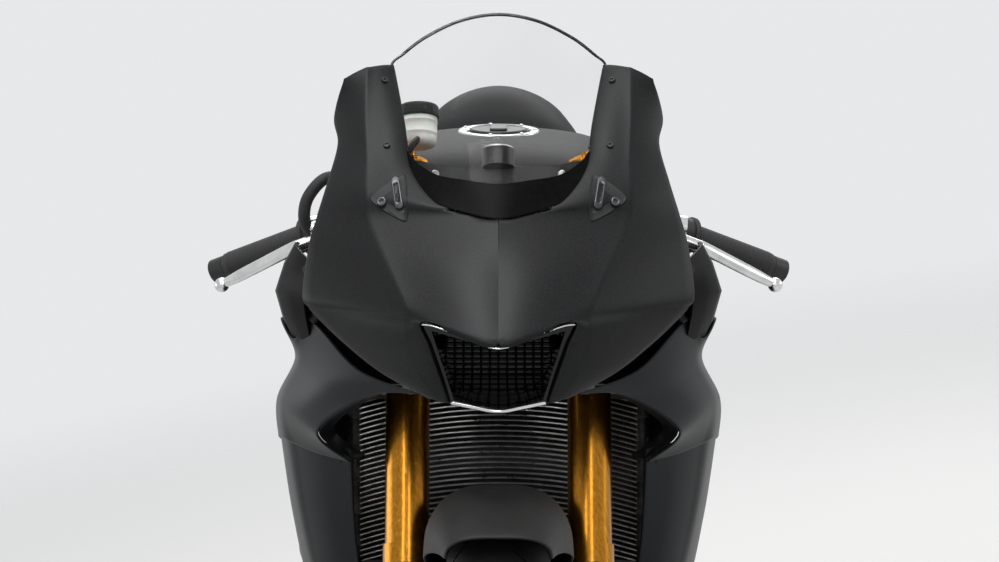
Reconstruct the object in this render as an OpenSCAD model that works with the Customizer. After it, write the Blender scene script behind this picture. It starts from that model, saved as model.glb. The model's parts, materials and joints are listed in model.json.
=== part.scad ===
// Sport motorcycle, fully faired, parked on its side stand.
// Forward is -Y, the rider's left is +X, up is +Z. Sizes in millimetres.

/* [Chassis] */
// distance between the wheel axles
wheelbase = 1375; // [1340:5:1410]
// lean on the side stand, degrees
lean = 10; // [8:0.5:12]
// steering axis angle from vertical, degrees
rake = 24; // [23:0.5:25]
// fork legs ahead of the steering axis
fork_offset = 33.4; // [28:0.2:38]

/* [Wheels] */
// front tyre outer radius
front_r = 300; // [294:1:306]
// front tyre width
front_w = 120; // [110:1:124]
// rear tyre outer radius
rear_r = 315; // [310:1:320]
// rear tyre width
rear_w = 180; // [160:1:182]
// rim outer radius at the flange
rim_r = 227; // [222:1:230]
// hollow axle radius
axle_r = 12.5; // [11:0.5:14]
// running clearance between a shaft and its bore
run_fit = 0.05; // [0.02:0.01:0.09]
// front brake disc radius
disc_r = 160; // [150:1:162]
// rear brake disc radius
rear_disc_r = 110; // [100:1:112]

/* [Fork] */
// half the distance between the fork legs
fork_x = 107.5; // [105:0.5:109]
// radius of the gold outer fork tube
tube_r = 26; // [24:0.5:27]
// radius of the chromed inner fork tube
slider_r = 21.5; // [20:0.5:22]
// top of the fork above the axle, along the leg
fork_top = 745; // [738:1:752]
// lower end of the outer tube, along the leg
tube_low = 246; // [240:1:256]
// underside of the lower clamp, along the leg
clamp_low = 482; // [476:1:490]
// handlebar below the top of the fork, along the leg
bar_drop = 59; // [57:1:63]
// handlebar sweep to the rear, degrees
bar_sweep = 34; // [30:1:38]
// handlebar droop, degrees
bar_droop = 9; // [6:1:12]
// length of one handlebar tube from its clamp
bar_len = 252; // [245:1:258]

/* [Drive] */
// chain pitch
pitch = 15.875; // [15.8:0.005:15.9]
// teeth on the rear sprocket
rear_teeth = 48; // [48:12:60]
// teeth on the engine sprocket
front_teeth = 16; // [14:1:17]
// distance of the chain from the middle of the machine
chain_x = 106; // [105:0.5:107]

/* [Bodywork] */
// wall of the fairing panels
wall = 3.5; // [2.5:0.5:4]
// wall of the clear screen
screen_wall = 3; // [2:0.5:4]
// fuel filler ring radius
cap_r = 50; // [44:1:54]

// bow radius of the radiator core
rad_bow = 800; // [760:10:900]

/* [Side stand] */
// foot distance from the tyre line
stand_x = 236; // [226:1:246]
// foot position along the machine
stand_y = 20; // [5:1:35]
// stand pivot pin radius
stand_pin_r = 6; // [5:0.5:7]

/* [Hidden] */
front_y = -(wheelbase + rear_r - front_r) / 2;
rear_y = front_y + wheelbase;
crown_front = front_w / 2 + 2;
crown_rear = rear_w / 2 + 13;
sink = 1 - cos(lean);
front_z = front_r;
rear_z = rear_r + (crown_rear - crown_front) * sink;
lift = crown_front * sink;
// shift of nose and tail when the wheelbase changes
nose = front_y + 695;
tail = rear_y - 680;
head_low = clamp_low + 40;
head_high = fork_top - 39;
stem_r = 15;
// swingarm pivot and engine sprocket
pivot = [0, 100, 400];
spr = [chain_x, 22, 402];
rear_pr = pitch / (2 * sin(180 / rear_teeth));
front_pr = pitch / (2 * sin(180 / front_teeth));
hub_r = axle_r + run_fit;
// handlebar direction in the steering frame
bar_dir = [cos(bar_droop) * cos(bar_sweep), cos(bar_droop) * sin(bar_sweep), -sin(bar_droop)];
bar_z = fork_top - bar_drop;
bar_start = [fork_x + tube_r + 4, 4, bar_z];
// lever ball in the steering frame
ball_at = bar_start + bar_dir * 214 + [22, -58, -46];
// height of the handlebar ends, which sets the sideways centre
bar_end = bar_start + bar_dir * (bar_len + 6);
end_z = front_z - bar_end[1] * sin(rake) + bar_end[2] * cos(rake);
// stand pivot, foot and hinge tilt, machine upright
stand_top = [150, 72, 262];
stand_tilt = 20;
foot_z = (stand_x * sin(lean) - lift) / cos(lean);
$fn = 48;

// piece to draw

function pick(rows, i) = rows[max(0, min(len(rows) - 1, i))];
// point on the smooth curve through b and c
function glide(a, b, c, d, t) =
  0.5 * (2 * b + (c - a) * t + (2 * a - 5 * b + 4 * c - d) * t * t + (3 * b - a - 3 * c + d) * t * t * t);
function between(rows, i, t) = [for (j = [0 : len(rows[0]) - 1])
  glide(pick(rows, i - 1)[j], rows[i][j], rows[i + 1][j], pick(rows, i + 2)[j], t)];
// rows with k steps between each pair
function fine(rows, k) = concat(
  [for (i = [0 : len(rows) - 2]) for (s = [0 : k - 1]) between(rows, i, s / k)],
  [rows[len(rows) - 1]]);
function turn(rows) = [for (j = [0 : len(rows[0]) - 1]) [for (r = rows) r[j]]];
function flip(p) = [-p[0], p[1], p[2]];
function back(row) = [for (i = [len(row) - 1 : -1 : 0]) row[i]];
// half row from the middle outward, made into a full row from right to left
function both(row) = concat([for (i = [len(row) - 1 : -1 : 1]) flip(row[i])], row);
function face_dir(g, i, j) = let (
  n = len(g) - 1, m = len(g[0]) - 1,
  u = g[min(i + 1, n)][j] - g[max(i - 1, 0)][j],
  v = g[i][min(j + 1, m)] - g[i][max(j - 1, 0)],
  c = cross(u, v)) c / max(norm(c), 0.000001);

// sheet of a grid of points, with a wall on the far side of its facing
module sheet(g, t) {
  n = len(g);
  m = len(g[0]);
  k = n * m;
  outer = [for (i = [0 : n - 1]) for (j = [0 : m - 1]) g[i][j]];
  inner = [for (i = [0 : n - 1]) for (j = [0 : m - 1]) g[i][j] - t * face_dir(g, i, j)];
  skin = [for (i = [0 : n - 2]) for (j = [0 : m - 2]) for (s = [0, 1])
    let (a = i * m + j, b = a + m, c = b + 1, d = a + 1) s == 0 ? [a, c, b] : [a, d, c]];
  lining = [for (f = skin) [f[0] + k, f[2] + k, f[1] + k]];
  ends = [for (j = [0 : m - 2]) for (s = [0, 1])
    let (a = j, b = j + 1, c = (n - 1) * m + j, d = c + 1)
    each s == 0 ? [[a, b + k, b], [a, a + k, b + k]] : [[c, d, d + k], [c, d + k, c + k]]];
  sides = [for (i = [0 : n - 2]) for (s = [0, 1])
    let (a = i * m, b = a + m, c = a + m - 1, d = b + m - 1)
    each s == 0 ? [[a, b, b + k], [a, b + k, a + k]] : [[c, d + k, d], [c, c + k, d + k]]];
  faces = concat(skin, lining, ends, sides);
  polyhedron(concat(outer, inner), t > 0 ? faces : [for (f = faces) [f[0], f[2], f[1]]]);
}

// closed body through loops of points, capped at both ends
function middle(row) = [for (a = [0 : 2]) [for (p = row) p[a]] * [for (p = row) 1 / len(row)]];
module loft(loops) {
  n = len(loops);
  m = len(loops[0]);
  points = concat([for (r = loops) each r], [middle(loops[0]), middle(loops[n - 1])]);
  walls = [for (i = [0 : n - 2]) for (j = [0 : m - 1]) for (s = [0, 1])
    let (a = i * m + j, d = i * m + (j + 1) % m, b = a + m, c = d + m) s == 0 ? [a, c, b] : [a, d, c]];
  caps = [for (j = [0 : m - 1]) for (s = [0, 1])
    let (q = (j + 1) % m) s == 0 ? [n * m, q, j] : [n * m + 1, (n - 1) * m + j, (n - 1) * m + q]];
  polyhedron(points, concat(walls, caps));
}
// rounded loop across the machine: y, half width, low z, high z, squareness
function loop(s, m) = [for (i = [0 : m - 1])
  let (a = 360 * i / m, p = 2 / s[4], c = cos(a), d = sin(a))
  [s[1] * sign(c) * pow(abs(c), p), s[0], (s[2] + s[3]) / 2 + (s[3] - s[2]) / 2 * sign(d) * pow(abs(d), p)]];
function loops(table, k, m) = let (t = fine(table, k)) [for (s = t) loop(s, m)];

// frames of reference
module steer() {
  translate([0, front_y, front_z])
    rotate([-rake, 0, 0])
      children();
}
module across(r, x0, x1) {
  translate([x0, 0, 0])
    rotate([0, 90, 0])
      cylinder(r = r, h = x1 - x0);
}
// plate in the side view, from x0 to x1
module slab(x0, x1, outline) {
  translate([x0, 0, 0])
    rotate([90, 0, 90])
      linear_extrude(x1 - x0)
        polygon(outline);
}
module rod(a, b, r) {
  d = b - a;
  translate(a)
    rotate([0, acos(d[2] / norm(d)), atan2(d[1], d[0])])
      cylinder(r = r, h = norm(d));
}
module pair() {
  children();
  mirror([1, 0, 0])
    children();
}

// wheels, drawn about their own axle
module wheel_turn() {
  rotate([0, 90, 0])
    rotate_extrude($fn = 96)
      children();
}
module tyre_section(r, w, crown, seat, bead) {
  shoulder = r - crown + sqrt(crown * crown - w * w / 4);
  intersection() {
    translate([r - crown, 0])
      circle(r = crown, $fn = 128);
    polygon([[bead, -seat], [rim_r + 1, -seat], [shoulder, -w / 2], [r, -w / 2], [r, w / 2],
      [shoulder, w / 2], [rim_r + 1, seat], [bead, seat]]);
  }
}
module tyre(r, w, crown, seat) {
  wheel_turn()
    difference() {
      tyre_section(r, w, crown, seat, rim_r - 9);
      tyre_section(r - 9, w - 14, crown - 8, seat - 9, rim_r - 27);
    }
}
// rim: seat is half the distance between the flanges
module rim(seat, hub, hub_half) {
  bed = rim_r - 9;
  well = rim_r - 27;
  skin = 8;
  wheel_turn()
    polygon([[bed - 6, -seat - 6], [rim_r, -seat - 6], [rim_r, -seat], [bed, -seat], [bed, 14 - seat],
      [well, 26 - seat], [well, seat - 26], [bed, seat - 14], [bed, seat], [rim_r, seat], [rim_r, seat + 6],
      [bed - 6, seat + 6], [bed - skin, seat - 12], [well - skin, seat - 30], [well - skin, 30 - seat],
      [bed - skin, 12 - seat]]);
  difference() {
    union() {
      across(hub, -hub_half, hub_half);
      pair()
        across(58, hub_half - 8, hub_half);
      for (i = [0 : 4])
        rotate([72 * i, 0, 0])
          spoke(rim_r - 30);
    }
    across(hub_r, -hub_half - 1, hub_half + 1);
  }
}
// forked spoke out to radius e, thinner at the rim than at the hub
module spoke(e) {
  slab(-11, 11, [[-15, 24], [15, 24], [11, 92], [46, e - 9], [44, e], [28, e], [0, 120], [-28, e], [-44, e],
    [-46, e - 9], [-11, 92]]);
  slab(-17, 17, [[-9, 24], [9, 24], [5, 104], [-5, 104]]);
}
// drilled brake disc on a five-armed carrier
module disc(r, inner, bolt_r, x) {
  translate([x, 0, 0])
    rotate([0, 90, 0]) {
      linear_extrude(5, center = true)
        difference() {
          circle(r = r, $fn = 96);
          circle(r = inner, $fn = 96);
          for (i = [0 : 19])
            for (k = [0 : 2])
              rotate(18 * i + 5 * k)
                translate([inner + (r - inner) * (0.3 + 0.22 * k), 0])
                  circle(r = 3, $fn = 16);
        }
      linear_extrude(6, center = true)
        difference() {
          union() {
            circle(r = bolt_r + 10, $fn = 64);
            for (i = [0 : 9])
              rotate(36 * i)
                translate([bolt_r, -9])
                  square([inner + 5 - bolt_r, 18]);
            difference() {
              circle(r = inner - 3, $fn = 64);
              circle(r = inner - 14, $fn = 64);
            }
          }
          circle(r = bolt_r - 12, $fn = 64);
        }
    }
}
module at_front() {
  translate([0, front_y, front_z])
    children();
}
module at_rear() {
  translate([0, rear_y, rear_z])
    children();
}

module front_tyre() {
  color("#1c1c1d")
    at_front()
      tyre(front_r, front_w, crown_front, 44.5);
}
module front_rim() {
  color("#26272a")
    at_front()
      rim(44.5, 34, 60);
}
module front_discs() {
  color("#9a9da1")
    at_front()
      pair()
        disc(disc_r, disc_r - 33, 48, 63);
}
module rear_tyre() {
  color("#1c1c1d")
    at_rear()
      tyre(rear_r, rear_w, crown_rear, 70);
}
module rear_rim() {
  color("#26272a")
    at_rear()
      rim(70, 38, 78);
}
module rear_disc() {
  color("#9a9da1")
    at_rear()
      disc(rear_disc_r, rear_disc_r - 30, 48, -81);
}
// sprocket wheel in its own plane, pitch circle r
module teeth(r, n) {
  difference() {
    circle(r = r + 4.6, $fn = 96);
    for (i = [0 : n - 1])
      rotate(360 * (i + 0.5) / n)
        translate([r, 0]) {
          circle(r = 5.6, $fn = 16);
          translate([0, -5.6])
            square([9, 11.2]);
        }
  }
}
module rear_sprocket() {
  color("#b9bbbd")
    at_rear()
      rotate([0, 90, 0]) {
        translate([0, 0, chain_x - 3.5])
          linear_extrude(7)
            difference() {
              teeth(rear_pr, rear_teeth);
              circle(r = 46, $fn = 64);
              for (i = [0 : 5])
                rotate(60 * i + 30)
                  translate([80, 0])
                    circle(r = 21, $fn = 32);
            }
        // cush drive carrier between wheel and sprocket
        translate([0, 0, 78])
          difference() {
            cylinder(r = 62, h = chain_x - 81.5);
            translate([0, 0, -1])
              cylinder(r = 40, h = 40);
          }
      }
}

module axle(x) {
  difference() {
    union() {
      across(axle_r, -x, x);
      pair()
        translate([x - 14, 0, 0])
          rotate([0, 90, 0])
            cylinder(r = axle_r + 7, h = 12, $fn = 6);
    }
    across(axle_r - 4.5, -x - 1, x + 1);
  }
}
module rear_axle() {
  color("#86888b")
    at_rear()
      axle(176);
}
module front_axle() {
  color("#86888b")
    at_front()
      axle(152);
}

// outline of one fork clamp, seen along the steering axis
module clamp_shape() {
  difference() {
    union() {
      pair()
        translate([fork_x, 0])
          circle(r = tube_r + 12);
      polygon([[-fork_x, -26], [-44, -12], [44, -12], [fork_x, -26], [fork_x, 24], [32, fork_offset + 26],
        [-32, fork_offset + 26], [-fork_x, 24]]);
      translate([0, fork_offset])
        circle(r = 34);
    }
    pair()
      translate([fork_x, 0])
        circle(r = tube_r);
    pair()
      translate([56, 4])
        circle(r = 15);
  }
}
module triple_clamps() {
  color("#2b2c2f")
    steer()
      difference() {
        union() {
          translate([0, 0, clamp_low])
            linear_extrude(40)
              clamp_shape();
          translate([0, 0, head_high + 1])
            linear_extrude(26)
              clamp_shape();
          translate([0, fork_offset, clamp_low])
            cylinder(r = stem_r, h = fork_top - clamp_low - 10);
          translate([0, fork_offset, fork_top - 14])
            cylinder(r = 21, h = 12, $fn = 6);
          // ignition lock
          translate([0, -16, fork_top - 14])
            cylinder(r = 19, h = 22);
        }
        translate([0, fork_offset, clamp_low - 1])
          cylinder(r = 10, h = 62);
      }
}
module fork_tubes() {
  color("#b98a3c")
    steer()
      pair()
        translate([fork_x, 0, 0]) {
          difference() {
            union() {
              translate([0, 0, tube_low])
                cylinder(r = tube_r, h = fork_top - tube_low - 6);
              translate([0, 0, tube_low])
                cylinder(r = tube_r + 2.5, h = 26);
            }
            translate([0, 0, tube_low - 1])
              cylinder(r = slider_r, h = 91);
          }
          translate([0, 0, fork_top - 6])
            cylinder(r = tube_r - 4, h = 6, $fn = 6);
          translate([0, 0, fork_top])
            cylinder(r = 7, h = 9);
        }
}
module fork_legs() {
  color("#a8aaad")
    steer()
      pair()
        difference() {
          union() {
            translate([fork_x, 0, 40])
              cylinder(r = slider_r, h = tube_low + 50);
            translate([fork_x, 0, -22])
              cylinder(r = slider_r + 5, h = 92);
            across(26, 82, 136);
            // radial caliper mount
            slab(96, 116, [[0, 40], [20, 20], [70, 66], [106, 120],
              [98, 132], [84, 132], [60, 100], [0, 74]]);
          }
          across(axle_r, 60, 160);
        }
}
module front_calipers() {
  color("#303236")
    steer()
      pair()
        translate([63, 0, 0])
          rotate([-44, 0, 0])
            translate([0, 0, disc_r - 22])
              difference() {
                union() {
                  translate([-25, -56, -25])
                    cube([50, 112, 44]);
                  translate([-20, -46, 12])
                    cube([40, 92, 24]);
                  for (k = [-1, 1])
                    translate([0, 27 * k, -3])
                      rotate([0, 90, 0])
                        cylinder(r = 17, h = 60, center = true);
                  // lug on the fork mount
                  translate([25, -40, -8])
                    cube([16, 80, 18]);
                }
                translate([-5.5, -80, -40])
                  cube([11, 160, 66]);
              }
}
// mudguard: angle ahead of the leg, crown radius, side radius, half width
mud_rows = [[-58, 326, 268, 66], [-30, 330, 252, 73], [0, 333, 236, 74], [24, 336, 262, 83],
  [47, 338, 312, 58]];
function mud(s) = both([for (c = [[0, 0], [0.45, 0.03], [0.76, 0.2], [0.95, 0.55], [1, 1]])
  let (r = s[1] + (s[2] - s[1]) * c[1]) [s[3] * c[0], -r * sin(s[0]), r * cos(s[0])]]);
module front_mudguard() {
  color("#1e1f21")
    steer() {
      sheet(fine([for (s = fine(mud_rows, 3)) mud(s)], 1), -wall);
      pair()
        slab(71.5, fork_x - slider_r + 1, [[-22, 176], [20, 176], [22, tube_low - 8], [-24, tube_low - 8]]);
    }
}
function on_bar(s) = bar_start + bar_dir * s;
module handlebars() {
  color("#222326")
    steer()
      pair() {
        difference() {
          union() {
            translate([fork_x, 0, bar_z - 17])
              cylinder(r = tube_r + 10, h = 34);
            rod(on_bar(-12), on_bar(bar_len), 11);
          }
          translate([fork_x, 0, bar_z - 40])
            cylinder(r = tube_r, h = 80);
        }
        rod(on_bar(238), on_bar(bar_len + 6), 15);
        // switch housing
        rod(on_bar(76), on_bar(110), 21);
      }
}
module grips() {
  color("#161617")
    steer()
      pair()
        difference() {
          union() {
            rod(on_bar(112), on_bar(237.5), 16.5);
            rod(on_bar(110.5), on_bar(116), 24);
          }
          rod(on_bar(100), on_bar(245), 11);
        }
}
module levers() {
  color("#b4b6b8")
    steer()
      pair() {
        // perch clamped on the bar, and the lever with its ball end
        difference() {
          union() {
            rod(on_bar(44), on_bar(72), 18);
            rod(on_bar(58), on_bar(84) + [0, -60, -24], 13);
            rod(on_bar(58) + [-24, -40, -10], on_bar(62) + [36, -34, -16], 15);
          }
          rod(on_bar(30), on_bar(90), 11);
        }
        rod(on_bar(80) + [0, -58, -24], on_bar(116) + [8, -74, -32], 7);
        rod(on_bar(116) + [8, -74, -32], ball_at, 5.5);
        translate(on_bar(116) + [8, -74, -32])
          sphere(r = 6.5);
        translate(ball_at)
          sphere(r = 9);
      }
}
module brake_reservoir() {
  color("#d8d9d4")
    steer() {
      translate([-fork_x + 12, -21, fork_top + 12])
        cylinder(r = 22, h = 34);
      translate([-fork_x + 12, -21, fork_top + 46])
        cylinder(r = 24, h = 15);
      // bracket down to the master cylinder
      rod([-fork_x + 12, -39, fork_top + 16], flip(on_bar(40)) + [0, -44, -8], 4);
    }
}

// twin spar frame: y, middle x, half thickness, low z, high z
spar_rows = [[-424, 36, 18, 792, 900], [-372, 50, 19, 764, 880], [-320, 92, 22, 736, 864],
  [-225, 138, 22, 684, 800], [-90, 154, 20, 600, 750], [0, 156, 16, 496, 704], [62, 153, 9, 410, 628]];
function spar(s) = let (c = min(s[2], 8)) [[s[1] - s[2] + c, s[0], s[3]], [s[1] + s[2] - c, s[0], s[3]],
  [s[1] + s[2], s[0], s[3] + c], [s[1] + s[2], s[0], s[4] - c], [s[1] + s[2] - c, s[0], s[4]],
  [s[1] - s[2] + c, s[0], s[4]], [s[1] - s[2], s[0], s[4] - c], [s[1] - s[2], s[0], s[3] + c]];
module main_frame() {
  color("#55575b") {
    steer()
      difference() {
        translate([0, fork_offset, head_low + 1])
          cylinder(r = 31, h = head_high - head_low - 1);
        translate([0, fork_offset, head_low - 60])
          cylinder(r = stem_r + run_fit, h = head_high - head_low + 120);
      }
    pair() {
      loft([for (s = fine(spar_rows, 2)) spar([s[0] + (s[0] < -200 ? nose : 0), s[1], s[2], s[3], s[4]])]);
      // plate that carries the swingarm pivot
      difference() {
        slab(140, 166, [[-20, 600], [20, 668], [66, 640], [112, 480], [134, 420], [130, 352], [108, 324],
          [66, 324], [52, 400], [10, 500]]);
        translate(pivot)
          across(10, 130, 180);
      }
    }
    // cross tube for the shock
    translate([0, 66, 566])
      across(16, -150, 150);
    // side stand bracket: two ears and the pin
    slab(135, 163, [[58, 334], [100, 334], [92, 298], [58, 298]]);
    translate(stand_top)
      rotate([0, -stand_tilt, 0]) {
        for (x = [-15, 9])
          slab(x, x + 6, [[-15, 52], [-15, -4], [-8, -13], [8, -13], [15, -4], [15, 52]]);
        across(stand_pin_r, -14, 18);
        across(10, 14.5, 18);
      }
  }
}
module subframe() {
  color("#303236")
    pair() {
      rod([136, 20, 650], [96, 330, 775], 13);
      rod([96, 330, 775], [58, 660, 862], 12);
      rod([132, 70, 560], [96, 380, 770], 12);
      rod([0, 330, 775], [97, 330, 775], 9);
      rod([0, 640, 857], [60, 640, 857], 9);
      rod([92, 300, 764], [92, 300, 806], 8);
      rod([20, 640, 857], [20, 640, 940], 7);
      rod([96, 330, 775], [138, 330, 800], 6);
    }
}
module swingarm() {
  color("#3b3d41")
    difference() {
      union() {
        translate(pivot)
          across(27, -137, 137);
        slab(-92, 92, [[172, 420], [228, 424], [232, 358], [180, 350]]);
        pair() {
          slab(118, 137, [[78, 424], [130, 434], [210, 432], [210, 340], [120, 366], [78, 378]]);
          slab(118, 152, [[168, 432], [330, 408], [560 + tail, 362], [700 + tail, 352], [734 + tail, 336],
            [734 + tail, 296], [700 + tail, 281], [600 + tail, 278], [420, 300], [230, 338], [168, 352]]);
          slab(60, 119, [[180, 414], [226, 418], [228, 364], [184, 358]]);
        }
        slab(-20, 20, [[150, 452], [196, 452], [226, 420], [176, 416]]);
      }
      translate(pivot)
        across(10, -200, 200);
      at_rear()
        across(axle_r, -200, 200);
      // lightening pocket on the outer face
      pair()
        slab(142, 160, [[250, 402], [540, 348], [540, 310], [300, 346]]);
      // stand spool holes
      pair()
        translate([0, 640 + tail, 300])
          across(5, 120, 170);
      translate([0, 172, 440])
        across(6, -40, 40);
    }
}
module rear_shock() {
  color("#b0302c") {
    rod([0, 172, 440], [0, 66, 566], 13);
    translate([0, 172, 440])
      across(6, -24, 24);
    translate([0, 172, 440])
      rotate([atan2(106, 126), 0, 0]) {
        translate([0, 0, 20])
          cylinder(r = 20.5, h = 94);
        for (i = [0 : 6])
          translate([0, 0, 26 + 13 * i])
            rotate_extrude()
              translate([25, 0])
                circle(r = 5, $fn = 16);
        for (z = [18, 112])
          translate([0, 0, z])
            cylinder(r = 31, h = 6);
      }
  }
}
module engine() {
  color("#2e3033") {
    // crankcase, sump, leaned cylinders, head and its cover
    slab(-150, 150, [[-286, 330], [-250, 268], [-70, 256], [-58, 516], [-262, 492]]);
    slab(-94, 94, [[-72, 262], [30, 300], [58, 392], [58, 440], [40, 480], [-72, 520]]);
    slab(-122, 122, [[-276, 484], [-96, 508], [-128, 604], [-298, 578]]);
    slab(-124, 124, [[-302, 574], [-122, 600], [-146, 668], [-314, 640]]);
    slab(-112, 112, [[-306, 638], [-152, 664], [-166, 694], [-296, 674]]);
    slab(-90, 90, [[-230, 270], [-60, 262], [-80, 216], [-210, 218]]);
    translate([0, -262, 340])
      rotate([90, 0, 0])
        cylinder(r = 36, h = 46);
    // cooling ribs on the cylinders
    for (i = [0 : 3])
      translate([0, -6 * i, 22 * i])
        slab(-126, 126, [[-288, 494], [-94, 520], [-95, 526], [-289, 500]]);
    // engine sprocket on its shaft
    translate(spr)
      rotate([0, 90, 0]) {
        translate([0, 0, -3.5])
          linear_extrude(7)
            teeth(front_pr, front_teeth);
        translate([0, 0, -14])
          cylinder(r = 18, h = 24);
      }
  }
}
module engine_covers() {
  color("#1f2023") {
    translate([150, -176, 396])
      rotate([0, 90, 0]) {
        cylinder(r = 74, h = 20);
        translate([0, 0, 20])
          cylinder(r1 = 68, r2 = 54, h = 10);
      }
    translate([-150, -140, 412])
      rotate([0, -90, 0]) {
        cylinder(r = 80, h = 22);
        translate([0, 0, 22])
          cylinder(r1 = 74, r2 = 58, h = 12);
      }
    translate([-150, -238, 356])
      rotate([0, -90, 0])
        cylinder(r = 38, h = 14);
  }
}
// radiator core bowed forward at the sides
rad_low = 490;
rad_high = 694;
rad_half = 172;
rad_y = -398 - rad_bow + nose;
module radiator() {
  half = asin(rad_half / rad_bow);
  end_y = rad_y + rad_bow * cos(half);
  color("#3a3c3f") {
    translate([0, rad_y, rad_low])
      rotate([0, 0, 90 - half])
        rotate_extrude(angle = 2 * half, $fn = 180) {
          translate([rad_bow + 3, 0])
            square([20, rad_high - rad_low]);
          for (i = [0 : 18])
            translate([rad_bow, 5 + 10.6 * i])
              square([4, 3.4]);
        }
    // side tanks, filler neck and mounting pegs
    pair()
      translate([rad_half + 3, end_y + 14, rad_low - 6])
        cylinder(r = 14, h = rad_high - rad_low + 16);
    translate([-120, -384 + nose, rad_high - 4])
      cylinder(r = 18, h = 32);
    pair()
      rod([81, -388 + nose, 600], [81, -290, 600], 7);
  }
}
module exhaust() {
  color("#77736d") {
    for (x = [-120, -42, 42, 120]) {
      rod([x, -296, 610], [x, -340, 560], 19);
      translate([x, -340, 560])
        sphere(r = 20.5);
      rod([x, -340, 560], [x * 0.9, -340, 330], 19);
      translate([x * 0.9, -340, 330])
        sphere(r = 20.5);
      rod([x * 0.9, -340, 330], [x * 0.35, -230, 212], 19);
    }
    rod([0, -250, 214], [0, -40, 206], 36);
    rod([0, -60, 206], [-100, 90, 236], 30);
    translate([-100, 90, 236])
      sphere(r = 32);
    rod([-100, 90, 236], [-196, 190, 330], 30);
    // short silencer on the right
    rod([-190, 184, 324], [-214, 232, 366], 40);
    rod([-214, 232, 366], [-226, 470, 470], 60);
    difference() {
      rod([-226, 470, 470], [-228, 512, 488], 48);
      rod([-226, 480, 474], [-229, 540, 500], 34);
    }
    // hanger to the frame
    slab(-184, -166, [[130, 452], [176, 448], [250, 424], [262, 398], [140, 420]]);
  }
}

// tank: y, then x and z of the lower edge, knee hollow, shoulder and top edge, and the crown z
tank_rows = [[-318, 40, 878, 60, 882, 66, 890, 40, 902, 906],
  [-285, 78, 852, 116, 864, 124, 896, 78, 930, 938],
  [-215, 96, 774, 146, 850, 160, 905, 104, 956, 967], [-110, 112, 756, 150, 838, 176, 912, 118, 966, 980],
  [-10, 112, 756, 134, 832, 172, 908, 116, 962, 976], [60, 106, 764, 114, 828, 148, 890, 100, 938, 950],
  [108, 100, 778, 104, 822, 120, 868, 80, 905, 915], [142, 96, 790, 98, 816, 100, 846, 66, 870, 878]];
// closed loop through the half section and its mirror
function tank_loop(s) = let (
  half = [[0, s[2] - 4], [s[1], s[2]], [s[3], s[4]], [s[5], s[6]], [s[7], s[8]], [0, s[9]]],
  curve = [for (r = fine([for (q = half) [[q[0], s[0], q[1]]]], 3)) r[0]])
  concat(curve, [for (i = [len(curve) - 2 : -1 : 1]) flip(curve[i])]);
// seat and tail: y, half width, low z, high z, squareness
seat_rows = [[143, 92, 808, 858, 2.6], [190, 122, 800, 856, 2.9], [270, 142, 804, 858, 3.1],
  [350, 138, 814, 866, 3.1], [412, 112, 828, 882, 2.8]];
tail_rows = [[416, 118, 798, 900, 2.6], [470, 122, 802, 938, 2.2], [545, 106, 822, 964, 1.9],
  [640, 80, 848, 954, 1.9], [735, 52, 876, 938, 2.0], [800, 32, 894, 928, 2.2]];
// panels under the seat: rear to front, top to bottom
flank_rows = [[[122, 30, 772], [132, 30, 734], [130, 30, 690]],
  [[116, 150, 797], [126, 150, 766], [116, 150, 728]],
  [[139, 255, 812], [147, 255, 788], [134, 255, 756]], [[137, 345, 826], [143, 345, 804], [126, 345, 776]],
  [[116, 432, 850], [122, 432, 824], [108, 432, 796]]];
module fuel_tank() {
  color("#35373b")
    loft([for (s = fine(tank_rows, 2)) tank_loop(s)]);
}
module fuel_cap() {
  color("#5b5d60")
    translate([0, -84, 970])
      rotate([1.5, 0, 0]) {
        difference() {
          cylinder(r = cap_r + 2, h = 10);
          translate([0, 0, 7])
            cylinder(r = cap_r - 9, h = 10);
        }
        cylinder(r = cap_r - 14, h = 12);
        translate([-11, -26, 11])
          cube([22, 40, 4]);
      }
}
module rider_seat() {
  color("#1b1b1c")
    loft(loops(seat_rows, 2, 24));
}
module tail_cowl() {
  color("#3a3c40") {
    difference() {
      loft(loops(tail_rows, 2, 24));
      loft([for (s = tail_rows) loop([s[0] - 6, s[1] - 5, s[2] - 30, s[3] - 6, s[4]], 24)]);
    }
    pair()
      sheet(fine(turn(fine(turn(flank_rows), 2)), 2), wall);
  }
}
module tail_light() {
  color("#8e1c1c")
    difference() {
      loft(loops([[797, 24, 900, 922, 2.4], [806, 26, 899, 923, 2.6], [814, 20, 902, 920, 2.6]], 2, 24));
      translate([-40, 820, 800])
        cube([80, 20, 200]);
    }
}

// half of the front cowl, from its inner edge over the crease to its outer edge
// inner x, y, z, crease x, y, z, outer x, y, z
cowl_rows = [
  [126, -450, 1099, 155, -466, 1098, 181, -470, 1086],
  [111, -522, 1036, 155, -518, 1046, 191, -484, 1042],
  [103, -570, 993, 152, -560, 1003, 186, -515, 1014],
  [68, -628, 957, 152, -599, 966, 197, -548, 973],
  [-1, -655, 944, 149, -617, 939, 208, -566, 938],
  [-1, -712, 886, 127, -668, 897, 217, -584, 906],
  [-1, -775, 822, 106, -712, 858, 224, -598, 852],
  [44, -757, 832, 101, -722, 844, 217, -600, 838],
  [87, -737, 840, 103, -725, 832, 203, -606, 824],
  [79, -741, 814, 100, -724, 808, 174, -632, 801],
  [68, -746, 782, 86, -733, 778, 132, -674, 775],
  [57, -749, 752, 66, -742, 753, 78, -730, 755]];
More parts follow.
